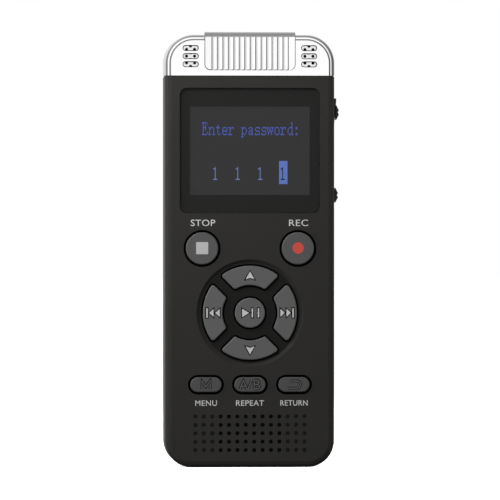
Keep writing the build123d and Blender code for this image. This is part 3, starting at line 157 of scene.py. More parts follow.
# the display's words and digit in its own coarse letters, with a # for each dot that is lit
PROMPT_FIRST = (
    "######..................................",
    ".#....#.................................",
    ".#..#..............#....................",
    ".#..#..............#....................",
    ".####...##.###...#####....####..###.###.",
    ".#..#....##...#....#.....#....#...##..#.",
    ".#..#....#....#....#.....#....#...#.....",
    ".#.......#....#....#.....######...#.....",
    ".#....#..#....#....#.....#........#.....",
    ".#....#..#....#....#..#..#....#...#.....",
    "######..###..###....##....####..#####...",
)
PROMPT_SECOND = (
    ".............................................................##.........",
    "..............................................................#.........",
    "..............................................................#.........",
    "..............................................................#.........",
    "##.##.....###.....#####...#####.##.#.###..####..###.###....####....##...",
    ".##..#...#...#...#....#..#....#.#..#..#..#....#...##..#...#...#....##...",
    ".#....#.....##...#.......#......#.#.#.#..#....#...#......#....#.........",
    ".#....#...##.#....####....####..#.#.#.#..#....#...#......#....#.........",
    ".#....#..#...#........#.......#..##.##...#....#...#......#....#.........",
    ".##..#...#..##...#....#..#....#..#...#...#....#...#.......#..##....##...",
    ".#.##.....##.##..#####...#####...#...#....####..#####......##.##...##...",
    ".#......................................................................",
    "###.....................................................................",
)
DIGIT_ONE = (
    "..#..",
    "###..",
    "..#..",
    "..#..",
    "..#..",
    "..#..",
    "..#..",
    "..#..",
    "..#..",
    "..#..",
    "#####",
)
ASCENT_ROWS = 11

scene = bpy.context.scene
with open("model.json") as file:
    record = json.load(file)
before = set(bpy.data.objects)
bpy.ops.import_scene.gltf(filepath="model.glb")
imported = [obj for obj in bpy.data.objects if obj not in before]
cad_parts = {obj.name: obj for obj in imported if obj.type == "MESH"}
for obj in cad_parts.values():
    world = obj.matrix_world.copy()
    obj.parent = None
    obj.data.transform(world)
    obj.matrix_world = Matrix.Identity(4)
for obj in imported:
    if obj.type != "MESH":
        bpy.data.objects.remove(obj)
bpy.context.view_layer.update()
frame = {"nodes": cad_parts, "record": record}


# ---------------------------------------------------------------- shader helpers
class Shader:
    """A node material under construction, with its Principled shader."""

    def __init__(self, name):
        self.material = bpy.data.materials.new(name)
        self.material.use_nodes = True
        self.nodes = self.material.node_tree.nodes
        self.links = self.material.node_tree.links
        self.main = self.nodes["Principled BSDF"]
        self.place = self.nodes.new("ShaderNodeTexCoord").outputs["Object"]

    def set(self, **values):
        """Set sockets of the Principled shader, named with _ for a space."""
        for name, value in values.items():
            self.main.inputs[name.replace("_", " ")].default_value = value

    def link(self, output, name):
        self.links.new(output, self.main.inputs[name])

    def stretched(self, scale):
        """The object's own coordinates, scaled by a different amount along each axis."""
        node = self.nodes.new("ShaderNodeMapping")
        node.inputs["Scale"].default_value = scale
        self.links.new(self.place, node.inputs["Vector"])
        return node.outputs["Vector"]

    def noise(self, scale, detail=2.0, vector=None):
        node = self.nodes.new("ShaderNodeTexNoise")
        node.inputs["Scale"].default_value = scale
        node.inputs["Detail"].default_value = detail
        self.links.new(vector or self.place, node.inputs["Vector"])
        return node.outputs["Fac"]

    def cells(self, scale):
        node = self.nodes.new("ShaderNodeTexVoronoi")
        node.inputs["Scale"].default_value = scale
        self.links.new(self.place, node.inputs["Vector"])
        return node.outputs["Distance"]

    def waves(self, scale, direction, distortion=0.0):
        node = self.nodes.new("ShaderNodeTexWave")
        node.bands_direction = direction
        node.inputs["Scale"].default_value = scale
        node.inputs["Distortion"].default_value = distortion
        self.links.new(self.place, node.inputs["Vector"])
        return node.outputs["Fac"]

    def axis(self, letter):
        node = self.nodes.new("ShaderNodeSeparateXYZ")
        self.links.new(self.place, node.inputs["Vector"])
        return node.outputs[letter]

    def math(self, operation, first, second):
        node = self.nodes.new("ShaderNodeMath")
        node.operation = operation
        for socket, value in zip(node.inputs, (first, second)):
            if isinstance(value, (int, float)):
                socket.default_value = value
            else:
                self.links.new(value, socket)
        return node.outputs["Value"]

    def vector_math(self, operation, source, amount):
        node = self.nodes.new("ShaderNodeVectorMath")
        node.operation = operation
        self.links.new(source, node.inputs[0])
        node.inputs[1].default_value = amount
        return node.outputs["Vector"]

    def reach(self, height):
        """Distance from the line straight back through the face's centre line at height."""
        offset = self.vector_math("SUBTRACT", self.place, (0, 0, height * MM))
        flat = self.vector_math("MULTIPLY", offset, (1, 0, 1))
        node = self.nodes.new("ShaderNodeVectorMath")
        node.operation = "LENGTH"
        self.links.new(flat, node.inputs[0])
        return node.outputs["Value"]

    def spread(self, source, low, high, start=0.0, stop=1.0):
        """Source, from start to stop, spread over low to high and held at its ends."""
        node = self.nodes.new("ShaderNodeMapRange")
        self.links.new(source, node.inputs["Value"])
        ends = {"From Min": start, "From Max": stop, "To Min": low, "To Max": high}
        for name, value in ends.items():
            node.inputs[name].default_value = value
        return node.outputs["Result"]

    def rise(self, source, start, stop):
        """0 before start, in millimetres, and 1 beyond stop."""
        return self.spread(source, 0.0, 1.0, start * MM, stop * MM)

    def fall(self, source, start, stop):
        """1 before start, in millimetres, and 0 beyond stop."""
        return self.spread(source, 1.0, 0.0, start * MM, stop * MM)

    def blend(self, factor, first, second):
        """A colour between first and second."""
        node = self.nodes.new("ShaderNodeMix")
        node.data_type = "RGBA"
        self.links.new(factor, node.inputs["Factor"])
        for name, value in (("A", first), ("B", second)):
            socket = [s for s in node.inputs if s.name == name and s.type == "RGBA"][0]
            if isinstance(value, tuple):
                socket.default_value = value
            else:
                self.links.new(value, socket)
        return [s for s in node.outputs if s.type == "RGBA"][0]

    def relief(self, height, depth):
        """Bump from a height of 0 to 1 that stands for depth in millimetres."""
        node = self.nodes.new("ShaderNodeBump")
        node.inputs["Strength"].default_value = 1.0
        node.inputs["Distance"].default_value = depth * MM
        self.links.new(height, node.inputs["Height"])
        self.link(node.outputs["Normal"], "Normal")


def shade(color, factor):
    """The colour times factor, with full alpha."""
    return (color[0] * factor, color[1] * factor, color[2] * factor, 1.0)


def moulded(name, color, roughness, specular=0.5, grain=6000.0, depth=0.012, drift=0.1):
    """Moulded plastic or rubber: a fine spark texture, and a slow drift of tone and gloss."""
    shader = Shader(name)
    shader.set(Specular_IOR_Level=specular)
    slow = shader.noise(70.0, 3.0)
    tone = shader.blend(slow, shade(color, 1 - drift), shade(color, 1 + drift))
    shader.link(tone, "Base Color")
    fine = shader.noise(grain, 1.0)
    gloss = shader.math("ADD", shader.spread(slow, -0.03, 0.03), roughness)
    gloss = shader.math("ADD", gloss, shader.spread(fine, -0.04, 0.04))
    shader.link(gloss, "Roughness")
    shader.relief(fine, depth)
    return shader.material


def metal(name, color, roughness, streak=(1, 1, 1)):
    """Plated or brushed metal: the grain is drawn out along the axis with the low streak."""
    shader = Shader(name)
    shader.set(Metallic=1.0)
    lines = shader.noise(5000.0, 2.0, shader.stretched(streak))
    slow = shader.noise(60.0, 2.0)
    tone = shader.blend(slow, shade(color, 0.94), shade(color, 1.0))
    shader.link(tone, "Base Color")
    gloss = shader.math("ADD", shader.spread(lines, -0.05, 0.05), roughness)
    shader.link(gloss, "Roughness")
    shader.relief(lines, 0.002)
    return shader.material


# ---------------------------------------------------------------- materials of the CAD nodes
def key_gap_shade(shader, reach):
    """Where the painted shade of the gaps goes: 1 inside the gaps round the keys; 0 on the face, in
    the dish and on the flanks.
    """
    into, height = shader.axis("Y"), shader.axis("Z")
    below_face = shader.rise(into, *FACE_GAP_Y)
    below_dish = shader.rise(into, *DISH_GAP_Y)
    outside = shader.rise(reach, *DISH_OUTSIDE)
    gap = shader.math("MAXIMUM", below_dish, shader.math("MULTIPLY", below_face, outside))
    aside = shader.math("ABSOLUTE", shader.axis("X"), 0.0)
    for place, limit in ((aside, KEYS_ASIDE), (height, KEYS_TOP), (height, KEYS_FOOT)):
        gap = shader.math("MULTIPLY", gap, shader.fall(place, *limit))
    return gap


def case_front():
    """The case plastic of the front shell, with painted shade: darker in the dish round the pad, and
    black without gloss in the gaps round the keys, which are too dark to see into."""
    shader = Shader("case_front")
    reach = shader.reach(PAD_Z)
    # painted shade: the dish round the pad darker than the face
    dish = shader.fall(reach, *(part * PAD_DISH_RADIUS for part in DISH_SHADE_RIM))
    slow = shader.noise(70.0, 3.0)
    plain = shader.blend(slow, shade(CASE_COLOR, 0.93), shade(CASE_COLOR, 1.07))
    tone = shader.blend(dish, plain, shade(CASE_COLOR, DISH_SHADE))
    # painted shade: black and without gloss in the gaps round the keys
    gap = key_gap_shade(shader, reach)
    shader.link(shader.blend(gap, tone, shade(CASE_COLOR, GAP_SHADE)), "Base Color")
    shader.link(shader.spread(gap, CASE_SPECULAR, 0.0), "Specular IOR Level")
    fine = shader.noise(6000.0, 1.0)
    gloss = shader.math("ADD", shader.spread(slow, 0.42, 0.48), shader.spread(fine, -0.04, 0.04))
    shader.link(gloss, "Roughness")
    shader.relief(fine, 0.012)
    return shader.material


def key_caps(name, grey):
    """The keys' plastic: grey on top, and painted shade, black without gloss, down the sides and in
    the gap.
    """
    shader = Shader(name)
    color = (grey, grey, grey)
    slow = shader.noise(70.0, 3.0)
    top = shader.blend(slow, shade(color, 0.92), shade(color, 1.08))
    # painted shade: black and without gloss down the keys' sides and in the gap
    gap = shader.rise(shader.axis("Y"), *KEY_SIDE_Y)
    shader.link(shader.blend(gap, top, shade(color, GAP_SHADE)), "Base Color")
    shader.link(shader.spread(gap, KEY_SPECULAR, 0.0), "Specular IOR Level")
    fine = shader.noise(5000.0, 1.0)
    shader.link(shader.spread(fine, 0.38, 0.46), "Roughness")
    shader.relief(fine, 0.012)
    return shader.material


def slot_wall_shade(shader):
    """Where the cap's painted shade goes: 1 on the walls of the microphone slots, and 0 on the rest
    of the cap.
    """
    into = shader.axis("Y")
    walls = shader.math("MULTIPLY", shader.rise(into, *SLOT_WALL_Y), shader.fall(into, *SLOT_END_Y))
    aside = shader.math("SUBTRACT", shader.math("ABSOLUTE", shader.axis("X"), 0.0), MIC_X * MM)
    above = shader.math("SUBTRACT", shader.axis("Z"), MIC_Z * MM)
    for place in (aside, above):
        away = shader.math("ABSOLUTE", place, 0.0)
        walls = shader.math("MULTIPLY", walls, shader.fall(away, *SLOT_REACH))
    return walls


def bright_plating():
    """Polished plating of the cap, with faint cloudiness and hairlines, and painted shade, near
    black, on the slot walls.
    """
    shader = Shader("bright_plating")
    shader.set(Metallic=1.0)
    cloud = shader.noise(120.0, 3.0)
    tone = shader.blend(cloud, (0.93, 0.93, 0.935, 1), (0.97, 0.97, 0.97, 1))
    hair = shader.noise(900.0, 2.0, shader.stretched((1, 1, 9)))
    shader.link(shader.math("ADD", shader.spread(hair, 0.0, 0.05), 0.12), "Roughness")
    # painted shade: the slot walls near black
    shader.link(shader.blend(slot_wall_shade(shader), tone, (0.08, 0.08, 0.08, 1)), "Base Color")
    shader.relief(shader.noise(2500.0, 1.0), 0.0006)
    return shader.material


def satin_plating():
    """Satin plating of the trim: bright on the ribs, coarse and greyer over the bend."""
    shader = Shader("satin_plating")
    shader.set(Metallic=1.0)
    bend = shader.rise(shader.axis("Z"), *TRIM_BEND_Z)
    grit = shader.noise(7000.0, 3.0)
    cloud = shader.noise(150.0, 2.0)
    smooth_tone = shader.blend(cloud, (0.88, 0.88, 0.885, 1), (0.95, 0.95, 0.95, 1))
    coarse_tone = shader.blend(grit, (0.46, 0.45, 0.45, 1), (1.0, 0.98, 0.98, 1))
    shader.link(shader.blend(bend, smooth_tone, coarse_tone), "Base Color")
    shader.link(shader.spread(bend, 0.2, 0.5), "Roughness")
    shader.relief(grit, 0.004)
    return shader.material


def window_clear():
    """Clear acrylic of the display window, coated so that it mirrors nothing head on and more
    towards its edges of view, with faint wipe marks in its clearness."""
    shader = Shader("window_clear")
    nodes, links = shader.nodes, shader.links
    wipe = shader.noise(400.0, 3.0, shader.stretched((1, 1, 8)))
    clear = nodes.new("ShaderNodeBsdfTransparent")
    links.new(shader.blend(wipe, (0.95, 0.95, 0.96, 1), (1.0, 1.0, 1.0, 1)), clear.inputs["Color"])
    gloss = nodes.new("ShaderNodeBsdfGlossy")
    gloss.inputs["Roughness"].default_value = 0.02
    edge = nodes.new("ShaderNodeFresnel")
    edge.inputs["IOR"].default_value = WINDOW_IOR
    mix = nodes.new("ShaderNodeMixShader")
    # nothing bends in it, so the mirroring at its inner sides is left out
    inner_side = nodes.new("ShaderNodeNewGeometry").outputs["Backfacing"]
    outer_side = shader.math("SUBTRACT", 1.0, inner_side)
    mirrored = shader.spread(edge.outputs["Fac"], 0.0, 1.0, WINDOW_HEAD_ON, 1.0)
    links.new(shader.math("MULTIPLY", mirrored, outer_side), mix.inputs["Fac"])
    links.new(clear.outputs["BSDF"], mix.inputs[1])
    links.new(gloss.outputs["BSDF"], mix.inputs[2])
    nodes.remove(shader.main)
    links.new(mix.outputs["Shader"], nodes["Material Output"].inputs["Surface"])
    return shader.material


def board_laminate():
    """Green solder mask over copper traces, with the glass weave just showing."""
    shader = Shader("board_laminate")
    shader.set(Coat_Weight=0.5, Coat_Roughness=0.2)
    bricks = shader.nodes.new("ShaderNodeTexBrick")
    bricks.inputs["Scale"].default_value = 260.0
    bricks.inputs["Mortar Size"].default_value = 0.05
    bricks.inputs["Color1"].default_value = (0.012, 0.105, 0.036, 1)
    bricks.inputs["Color2"].default_value = (0.016, 0.13, 0.045, 1)
    bricks.inputs["Mortar"].default_value = (0.03, 0.22, 0.07, 1)
    turn = shader.nodes.new("ShaderNodeMapping")
    turn.inputs["Rotation"].default_value = (math.radians(90), 0, 0)
    shader.links.new(shader.place, turn.inputs["Vector"])
    shader.links.new(turn.outputs["Vector"], bricks.inputs["Vector"])
    shader.link(bricks.outputs["Color"], "Base Color")
    shader.link(shader.spread(shader.noise(300.0), 0.3, 0.42), "Roughness")
    shader.relief(shader.waves(900.0, "X", 0.4), 0.004)
    return shader.material


def woven_cloth():
    """Black dust cloth: two crossing sets of threads."""
    shader = Shader("dust_cloth")
    shader.set(Sheen_Weight=0.15)
    over = shader.waves(1500.0, "X")
    under = shader.waves(1500.0, "Z")
    weave = shader.math("MULTIPLY", over, under)
    shader.link(shader.blend(weave, (0.004, 0.004, 0.004, 1), (0.02, 0.02, 0.02, 1)), "Base Color")
    shader.link(shader.spread(weave, 0.95, 0.8), "Roughness")
    shader.relief(weave, 0.03)
    return shader.material


def capsule_can():
    """A microphone's aluminium can, with black felt over its front."""
    shader = Shader("capsule_can")
    back = shader.rise(shader.axis("Y"), *FELT_END_Y)
    fibres = shader.noise(5000.0, 3.0)
    felt = shader.blend(fibres, (0.004, 0.004, 0.004, 1), (0.012, 0.012, 0.012, 1))
    shader.link(shader.blend(back, felt, (0.8, 0.8, 0.81, 1)), "Base Color")
    shader.link(back, "Metallic")
    shader.link(shader.spread(back, 0.95, 0.3), "Roughness")
    shader.relief(fibres, 0.004)
    return shader.material


def open_foam():
    """Charcoal foam with open cells."""
    shader = Shader("foam")
    cells = shader.cells(2500.0)
    shader.link(shader.blend(cells, (0.008, 0.008, 0.009, 1), (0.045, 0.045, 0.05, 1)), "Base Color")
    shader.link(shader.spread(cells, 1.0, 0.85), "Roughness")
    shader.relief(cells, 0.08)
    return shader.material


def foil_pouch():
    """Laminated foil of the battery, slightly crumpled."""
    shader = Shader("cell_pouch")
    shader.set(Metallic=0.9)
    crumple = shader.noise(160.0, 4.0)
    shader.link(shader.blend(crumple, (0.5, 0.5, 0.52, 1), (0.68, 0.68, 0.7, 1)), "Base Color")
    shader.link(shader.spread(crumple, 0.3, 0.42), "Roughness")
    shader.relief(crumple, 0.08)
    return shader.material


def make_materials():
    """One finished material for each material slot of the record."""
    return {
        "case_plastic": moulded("case_plastic", CASE_COLOR, 0.45, CASE_SPECULAR, 6000, 0.012),
        "bright_plating": bright_plating(),
        "satin_plating": satin_plating(),
        "mesh_steel": metal("mesh_steel", (0.86, 0.86, 0.87), 0.28),
        "soft_rubber": moulded("soft_rubber", (0.006, 0.006, 0.006), 0.8, 0.3, 3000, 0.02),
        "can_aluminium": metal("can_aluminium", (0.8, 0.8, 0.81), 0.3, (8, 8, 1)),
        "wire_sleeve": moulded("wire_sleeve", (0.35, 0.02, 0.015), 0.4, 0.5, 1500, 0.01),
        "window_clear": window_clear(),
        "panel_glass": moulded("panel_glass", (0.02, 0.02, 0.022), 0.25, 0.5, 4000, 0.002),
        "inner_plastic": moulded("inner_plastic", (0.02, 0.02, 0.02), 0.55, 0.4, 3500, 0.015),
        "flex_film": moulded("flex_film", (0.45, 0.2, 0.04), 0.3, 0.5, 1200, 0.01, 0.2),
        "connector_plastic": moulded("connector_plastic", (0.72, 0.68, 0.56), 0.4),
        "board_laminate": board_laminate(),
        "switch_plastic": moulded("switch_plastic", (0.03, 0.03, 0.03), 0.5),
        "chip_plastic": moulded("chip_plastic", (0.015, 0.015, 0.016), 0.55, 0.4, 5000, 0.01),
        "plated_steel": metal("plated_steel", (0.72, 0.71, 0.68), 0.28, (1, 6, 6)),
        "cone_film": moulded("cone_film", (0.015, 0.015, 0.015), 0.35, 0.5, 2000, 0.01),
        "foam": open_foam(),
        "dust_cloth": woven_cloth(),
        "contact_brass": metal("contact_brass", (0.86, 0.66, 0.3), 0.22, (1, 6, 1)),
        "cell_pouch": foil_pouch(),
        "screw_steel": metal("screw_steel", (0.06, 0.06, 0.065), 0.38, (1, 1, 6)),
        "key_plastic": key_caps("key_plastic", KEY_GREY),
        "stem_plastic": moulded("stem_plastic", (0.6, 0.58, 0.52), 0.5),
        "slider_plastic": moulded("slider_plastic", (0.012, 0.012, 0.012), 0.4, 0.3, 5000, 0.01),
    }


def paint_cad_nodes(materials):
    """Each node's finish by its slot in the record, and finer finishes for some of them."""
    for part in frame["record"]["subparts"]:
        node = frame["nodes"][part["node"]]
        finish = materials[part["material_slot"]]
        if not node.material_slots:
            node.data.materials.append(finish)
        for material_slot in node.material_slots:
            material_slot.material = finish
    finishes = {"front_housing": case_front(), "mic_capsules": capsule_can()}
    kinds = {name: key_caps(name, grey) for name, grey in KEY_GREYS.items()}
    for key, kind in KEY_KINDS.items():
        finishes[f"{key}_button"] = kinds[kind]
    for name, finish in finishes.items():
        for material_slot in frame["nodes"][name].material_slots:
            material_slot.material = finish


# ---------------------------------------------------------------- materials of the prints
def ink(name, color, roughness, specular=0.3):
    """Pad-printed ink or a moulded filling, slightly uneven."""
    return moulded(name, color, roughness, specular, 4000, 0.004, 0.06)


def glow(name, color):
    """Lit display elements: light with a faint pixel grid and a slow unevenness."""
    shader = Shader(name)
    shader.set(Base_Color=(0.004, 0.004, 0.005, 1), Specular_IOR_Level=0.0, Roughness=0.6)
    slow = shader.noise(60.0)
    # waves of scale 1 come 10 / pi to the metre, so these are two dots long
    columns = shader.waves(math.pi / (20.0 * PIXEL_WIDTH * MM), "X")
    rows = shader.waves(math.pi / (20.0 * PIXEL_HEIGHT * MM), "Z")
    grid = shader.math("MULTIPLY", shader.spread(columns, 0.96, 1.0), shader.spread(rows, 0.96, 1.0))
    level = shader.math("MULTIPLY", grid, shader.spread(slow, 0.96, 1.04))
    shader.link(shader.blend(level, (0, 0, 0, 1), shade(color, 1.0)), "Emission Color")
    shader.set(Emission_Strength=1.0)
    return shader.material


# ---------------------------------------------------------------- mesh helpers
def add_piece(name, mesh_data, material, body):
    """A finished piece in the scene, painted and riding its body."""
    piece = bpy.data.objects.new(name, mesh_data)
    scene.collection.objects.link(piece)
    mesh_data.materials.append(material)
    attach(piece, body)


def to_mesh(name, shape):
    """The edited shape as a mesh, with its faces turned outwards."""
    bmesh.ops.recalc_face_normals(shape, faces=shape.faces)
    mesh_data = bpy.data.meshes.new(name)
    shape.to_mesh(mesh_data)
    shape.free()
    return mesh_data


def thicken(shape, faces, front_y, back_y):
    """Extrude flat faces at front_y back to back_y."""
    grown = bmesh.ops.extrude_face_region(shape, geom=faces)
    moved = [item for item in grown["geom"] if isinstance(item, bmesh.types.BMVert)]
    bmesh.ops.translate(shape, verts=moved, vec=(0, (back_y - front_y) * MM, 0))


def slab(outlines, front_y, back_y, step=0.0):
    """Plates with these closed (x, z) outlines, from front_y back to back_y. Each lies step
    deeper than the one before it, so that those that cross don't share a plane."""
    shape = bmesh.new()
    faces = []
    for i, outline in enumerate(outlines):
        y = front_y + i * step
        corners = [shape.verts.new((x * MM, y * MM, z * MM)) for x, z in outline]
        faces.append(shape.faces.new(corners))
    thicken(shape, faces, front_y, back_y)
    return shape


def rectangle(width, height, centre=(0.0, 0.0)):
    x, z = centre
    return [
        (x - width / 2, z - height / 2),
        (x + width / 2, z - height / 2),
        (x + width / 2, z + height / 2),
        (x - width / 2, z + height / 2),
    ]


def rounded(width, height, radius, centre=(0.0, 0.0), steps=8):
    """A rectangle with round corners."""
    points = []
    for quarter, (sx, sz) in enumerate(((1, 1), (-1, 1), (-1, -1), (1, -1))):
        middle_x = centre[0] + sx * (width / 2 - radius)
        middle_z = centre[1] + sz * (height / 2 - radius)
        for step in range(steps + 1):
            angle = math.radians(90 * (quarter + step / steps))
            points.append((middle_x + radius * math.cos(angle), middle_z + radius * math.sin(angle)))
    return points


def circle(radius, centre, steps=64):
    x, z = centre
    turns = [math.tau * i / steps for i in range(steps)]
    return [(x + radius * math.cos(turn), z + radius * math.sin(turn)) for turn in turns]


def inset(outline, distance):
    """The closed outline, anticlockwise, drawn in by distance with mitred corners."""
    moved = []
    count = len(outline)
    for i in range(count):
        before, here, after = (Vector(outline[(i + k) % count]) for k in (-1, 0, 1))
        inward_a = Vector((-(here - before).y, (here - before).x)).normalized()
        inward_b = Vector((-(after - here).y, (after - here).x)).normalized()
        mitre = (inward_a + inward_b).normalized()
        moved.append(tuple(here + mitre * (distance / max(mitre.dot(inward_a), 0.35))))
    return moved


def pen_line(points, width):
    """The closed outline of an open line drawn with a pen of that width."""
    left, right = [], []
    for i, point in enumerate(points):
        here = Vector(point)
        into = (here - Vector(points[i - 1])).normalized() if i else None
        out = (Vector(points[i + 1]) - here).normalized() if i < len(points) - 1 else None
        side_in = Vector((-into.y, into.x)) if into else None
        side_out = Vector((-out.y, out.x)) if out else None
        side = ((side_in or side_out) + (side_out or side_in)).normalized()
        reach = width / 2 / max(side.dot(side_in or side_out), 0.45)
        left.append(tuple(here + side * reach))
        right.append(tuple(here - side * reach))
    return right + left[::-1]


# ---------------------------------------------------------------- display
def framed_mask():
    """The black print on the back of the window, with its opening."""
    outer = rounded(*MASK_SIZE, MASK_CORNER, (0, DISPLAY_Z))
    inner = rounded(*MASK_OPENING, MASK_OPENING_CORNER, (0, DISPLAY_Z))
    front_y = WINDOW_BACK_Y - MASK_THICKNESS
    shape = bmesh.new()
    rings = [
        [shape.verts.new((x * MM, front_y * MM, z * MM)) for x, z in ring]
        for ring in (outer, inner)
    ]
    faces = []
    count = len(outer)
    for i in range(count):
        j = (i + 1) % count
        faces.append(shape.faces.new((rings[0][i], rings[0][j], rings[1][j], rings[1][i])))
    thicken(shape, faces, front_y, WINDOW_BACK_Y)
    return to_mesh("window_mask", shape)


def pixels(name, rows, left, baseline, front_y):
    """The lit pixels of a drawing, joined where they touch, as one thin raised layer."""
    shape = bmesh.new()
    corners = {}

    def corner(column, row):
        if (column, row) not in corners:
            x = left + column * PIXEL_WIDTH
            z = baseline + (ASCENT_ROWS - row) * PIXEL_HEIGHT
            corners[column, row] = shape.verts.new((x * MM, front_y * MM, z * MM))
        return corners[column, row]

    faces = []
    for row, line in enumerate(rows):
        for column, mark in enumerate(line):
            if mark == "#":
                square = ((column, row + 1), (column + 1, row + 1), (column + 1, row), (column, row))
                faces.append(shape.faces.new([corner(*place) for place in square]))
    thicken(shape, faces, front_y, front_y + DISPLAY_THICKNESS)
    return to_mesh(name, shape)


def make_screen():
    """The display's lit ground, and the black mask in front of its edge."""
    image = slab([rectangle(*DISPLAY_SIZE, (0, DISPLAY_Z))], DISPLAY_Y, DISPLAY_Y + DISPLAY_THICKNESS)
    grey = glow("display_grey", (0.037, 0.0368, 0.0368))
    add_piece("display_image", to_mesh("display_image", image), grey, "case")
    mask = ink("mask_black", (0.0065, 0.0064, 0.0059), 0.6)
    add_piece("window_mask", framed_mask(), mask, "case")


def make_prompt(front_y, blue):
    """The prompt, as two words."""
    second_left = TEXT_LEFT + len("Enter ") * CELL_COLUMNS * PIXEL_WIDTH
    words = {
        "prompt_first_word": (PROMPT_FIRST, TEXT_LEFT),
        "prompt_second_word": (PROMPT_SECOND, second_left),
    }
    for name, (rows, left) in words.items():
        mesh_data = pixels(name, rows, left, TEXT_BASELINE, front_y)
        add_piece(name, mesh_data, blue, "case")


def make_digits(front_y, pale, block_blue):
    """Four digits, the last one dark on a bright block."""
    left, right, low, high = HIGHLIGHT_BOX
    block = rectangle(right - left, high - low, ((left + right) / 2, (low + high) / 2))
    block_mesh = to_mesh("digit_highlight", slab([block], front_y, front_y + DISPLAY_THICKNESS))
    add_piece("digit_highlight", block_mesh, block_blue, "case")
    dark = ink("display_dark", (0.004, 0.004, 0.012), 0.7)
    half_width = len(DIGIT_ONE[0]) * PIXEL_WIDTH / 2
    for i, centre in enumerate(DIGIT_CENTRES):
        last = i == len(DIGIT_CENTRES) - 1
        name = f"display_digit_{i + 1}"
        layer_y = front_y - DISPLAY_THICKNESS if last else front_y
        mesh_data = pixels(name, DIGIT_ONE, centre - half_width, DIGIT_BASELINE, layer_y)
        add_piece(name, mesh_data, dark if last else pale, "case")


def make_display():
    make_screen()
    front_y = DISPLAY_Y - DISPLAY_THICKNESS
    blue = glow("display_blue", (0.078, 0.112, 0.4))
    pale = glow("display_pale_blue", (0.15, 0.2, 0.42))
    block_blue = glow("display_block_blue", (0.117, 0.185, 0.5))
    make_prompt(front_y, blue)
    make_digits(front_y, pale, block_blue)


# ---------------------------------------------------------------- prints and icons
def flat_letters(name, word, boldness):
    """The word in the plain built-in letters, as a flat mesh across XY."""
    curve = bpy.data.curves.new(name, "FONT")
    curve.body = word
    curve.offset = boldness
    curve.resolution_u = 6
    curve.space_character = 1.06
    writing = bpy.data.objects.new(name, curve)
    scene.collection.objects.link(writing)
    bpy.context.view_layer.update()
    graph = bpy.context.evaluated_depsgraph_get()
    flat = bpy.data.meshes.new_from_object(writing.evaluated_get(graph))
    bpy.data.objects.remove(writing)
    return flat


def make_label(name, material):
    """A printed word on the face."""
    word, centre_x, foot_z, width, height, boldness = LABELS[name]
    shape = bmesh.new()
    shape.from_mesh(flat_letters(name, word, boldness))
    bmesh.ops.remove_doubles(shape, verts=shape.verts, dist=1e-5)
    for face in shape.faces:
        face.smooth = False
    xs = [vertex.co.x for vertex in shape.verts]
    ys = [vertex.co.y for vertex in shape.verts]
    across = width / (max(xs) - min(xs))
    up = height / (max(ys) - min(ys))
    front_y = FACE_Y - PRINT_HEIGHT
    for vertex in shape.verts:
        x = centre_x + (vertex.co.x - (max(xs) + min(xs)) / 2) * across
        z = foot_z + (vertex.co.y - min(ys)) * up
        vertex.co = (x * MM, front_y * MM, z * MM)
    thicken(shape, shape.faces[:], front_y, FACE_Y + PRINT_DEPTH)
    add_piece(name, to_mesh(name, shape), material, "case")


# icons are drawn about their own middle; those on the arc keys point away from the pad
def arrow_outlines():
    """An arrow head with a notched foot."""
    return [[(0, 1.12), (-1.25, -1.12), (0, -0.7), (1.25, -1.12)]]


def skip_outlines():
    """Two triangles one behind the other, and a bar at their tip."""
    triangles = [
        [(0, tip), (-1.18, tip - 1.27), (1.18, tip - 1.27)]
        for tip in (8.0 - PAD_ICON_RADIUS, 9.38 - PAD_ICON_RADIUS)
    ]
    return triangles + [rectangle(2.36, BAR_WIDTH, (0, 9.7 - PAD_ICON_RADIUS))]


def play_outlines():
    """A triangle to the right, and two bars."""
    bars = [rectangle(BAR_WIDTH, 2.3, (x, 0)) for x in (0.52, 1.9)]
    return [[(0.05, 0), (-1.9, 1.15), (-1.9, -1.15)]] + bars


def menu_lines():
    """The letter M."""
    return [[(-0.92, -0.95), (-0.92, 0.95), (0, -0.45), (0.92, 0.95), (0.92, -0.95)]]


def repeat_lines():
    """The letters A and B with a stroke between them."""
    return [
        [(-2.3, -0.95), (-1.5, 0.95), (-0.7, -0.95)],
        [(-2.0, -0.35), (-1.0, -0.35)],
        [(-0.45, -0.95), (0.35, 0.95)],
        [(0.95, 0.95), (0.95, -0.95)],
        [(0.95, 0.95), (1.75, 0.95), (2.1, 0.55), (1.75, 0.05), (0.95, 0.05)],
        [(1.75, 0.05), (2.25, -0.45), (1.8, -0.95), (0.95, -0.95)],
    ]


def return_lines():
    """A line that turns back on itself."""
    turn_x, half = 0.65, 0.8
    bend = [
        (turn_x + half * math.sin(math.radians(turn)), half * math.cos(math.radians(turn)))
        for turn in range(0, 181, 15)
    ]
    return [[(-0.75, half)] + bend + [(-1.4, -half)]]


def placed(outline, x, z, turn):
    """The outline turned about its middle and moved to (x, z)."""
    along, across = math.cos(math.radians(turn)), math.sin(math.radians(turn))
    return [(x + u * along - v * across, z + u * across + v * along) for u, v in outline]


def rimmed(outlines):
    """The outlines grown for the floor, and drawn in for the filling."""
    floors = [inset(o, -ICON_RIM) for o in outlines]
    fills = [inset(o, ICON_INSET) for o in outlines]
    return floors, fills


def make_icon(key, outlines, fills, top_y, x, z, turn, materials):
    """A sunken icon: a black floor in the key's recess as painted shade, and a pale filling that
    leaves a rim of it.
    """
    floor_y = top_y + ICON_DEPTH
    base_y = floor_y - ICON_BASE
    # the floor layer is painted shade: black where the groove round the filling lies in shade
    layers = (
        ("floor", outlines, base_y, floor_y),
        ("filling", fills, top_y + ICON_SHY, base_y),
    )
    for (part, drawing, front_y, back_y), material in zip(layers, materials):
        name = f"{key}_icon_{part}"
        shape = slab([placed(o, x, z, turn) for o in drawing], front_y, back_y, ICON_STEP)
        add_piece(name, to_mesh(name, shape), material, f"{key}_key")


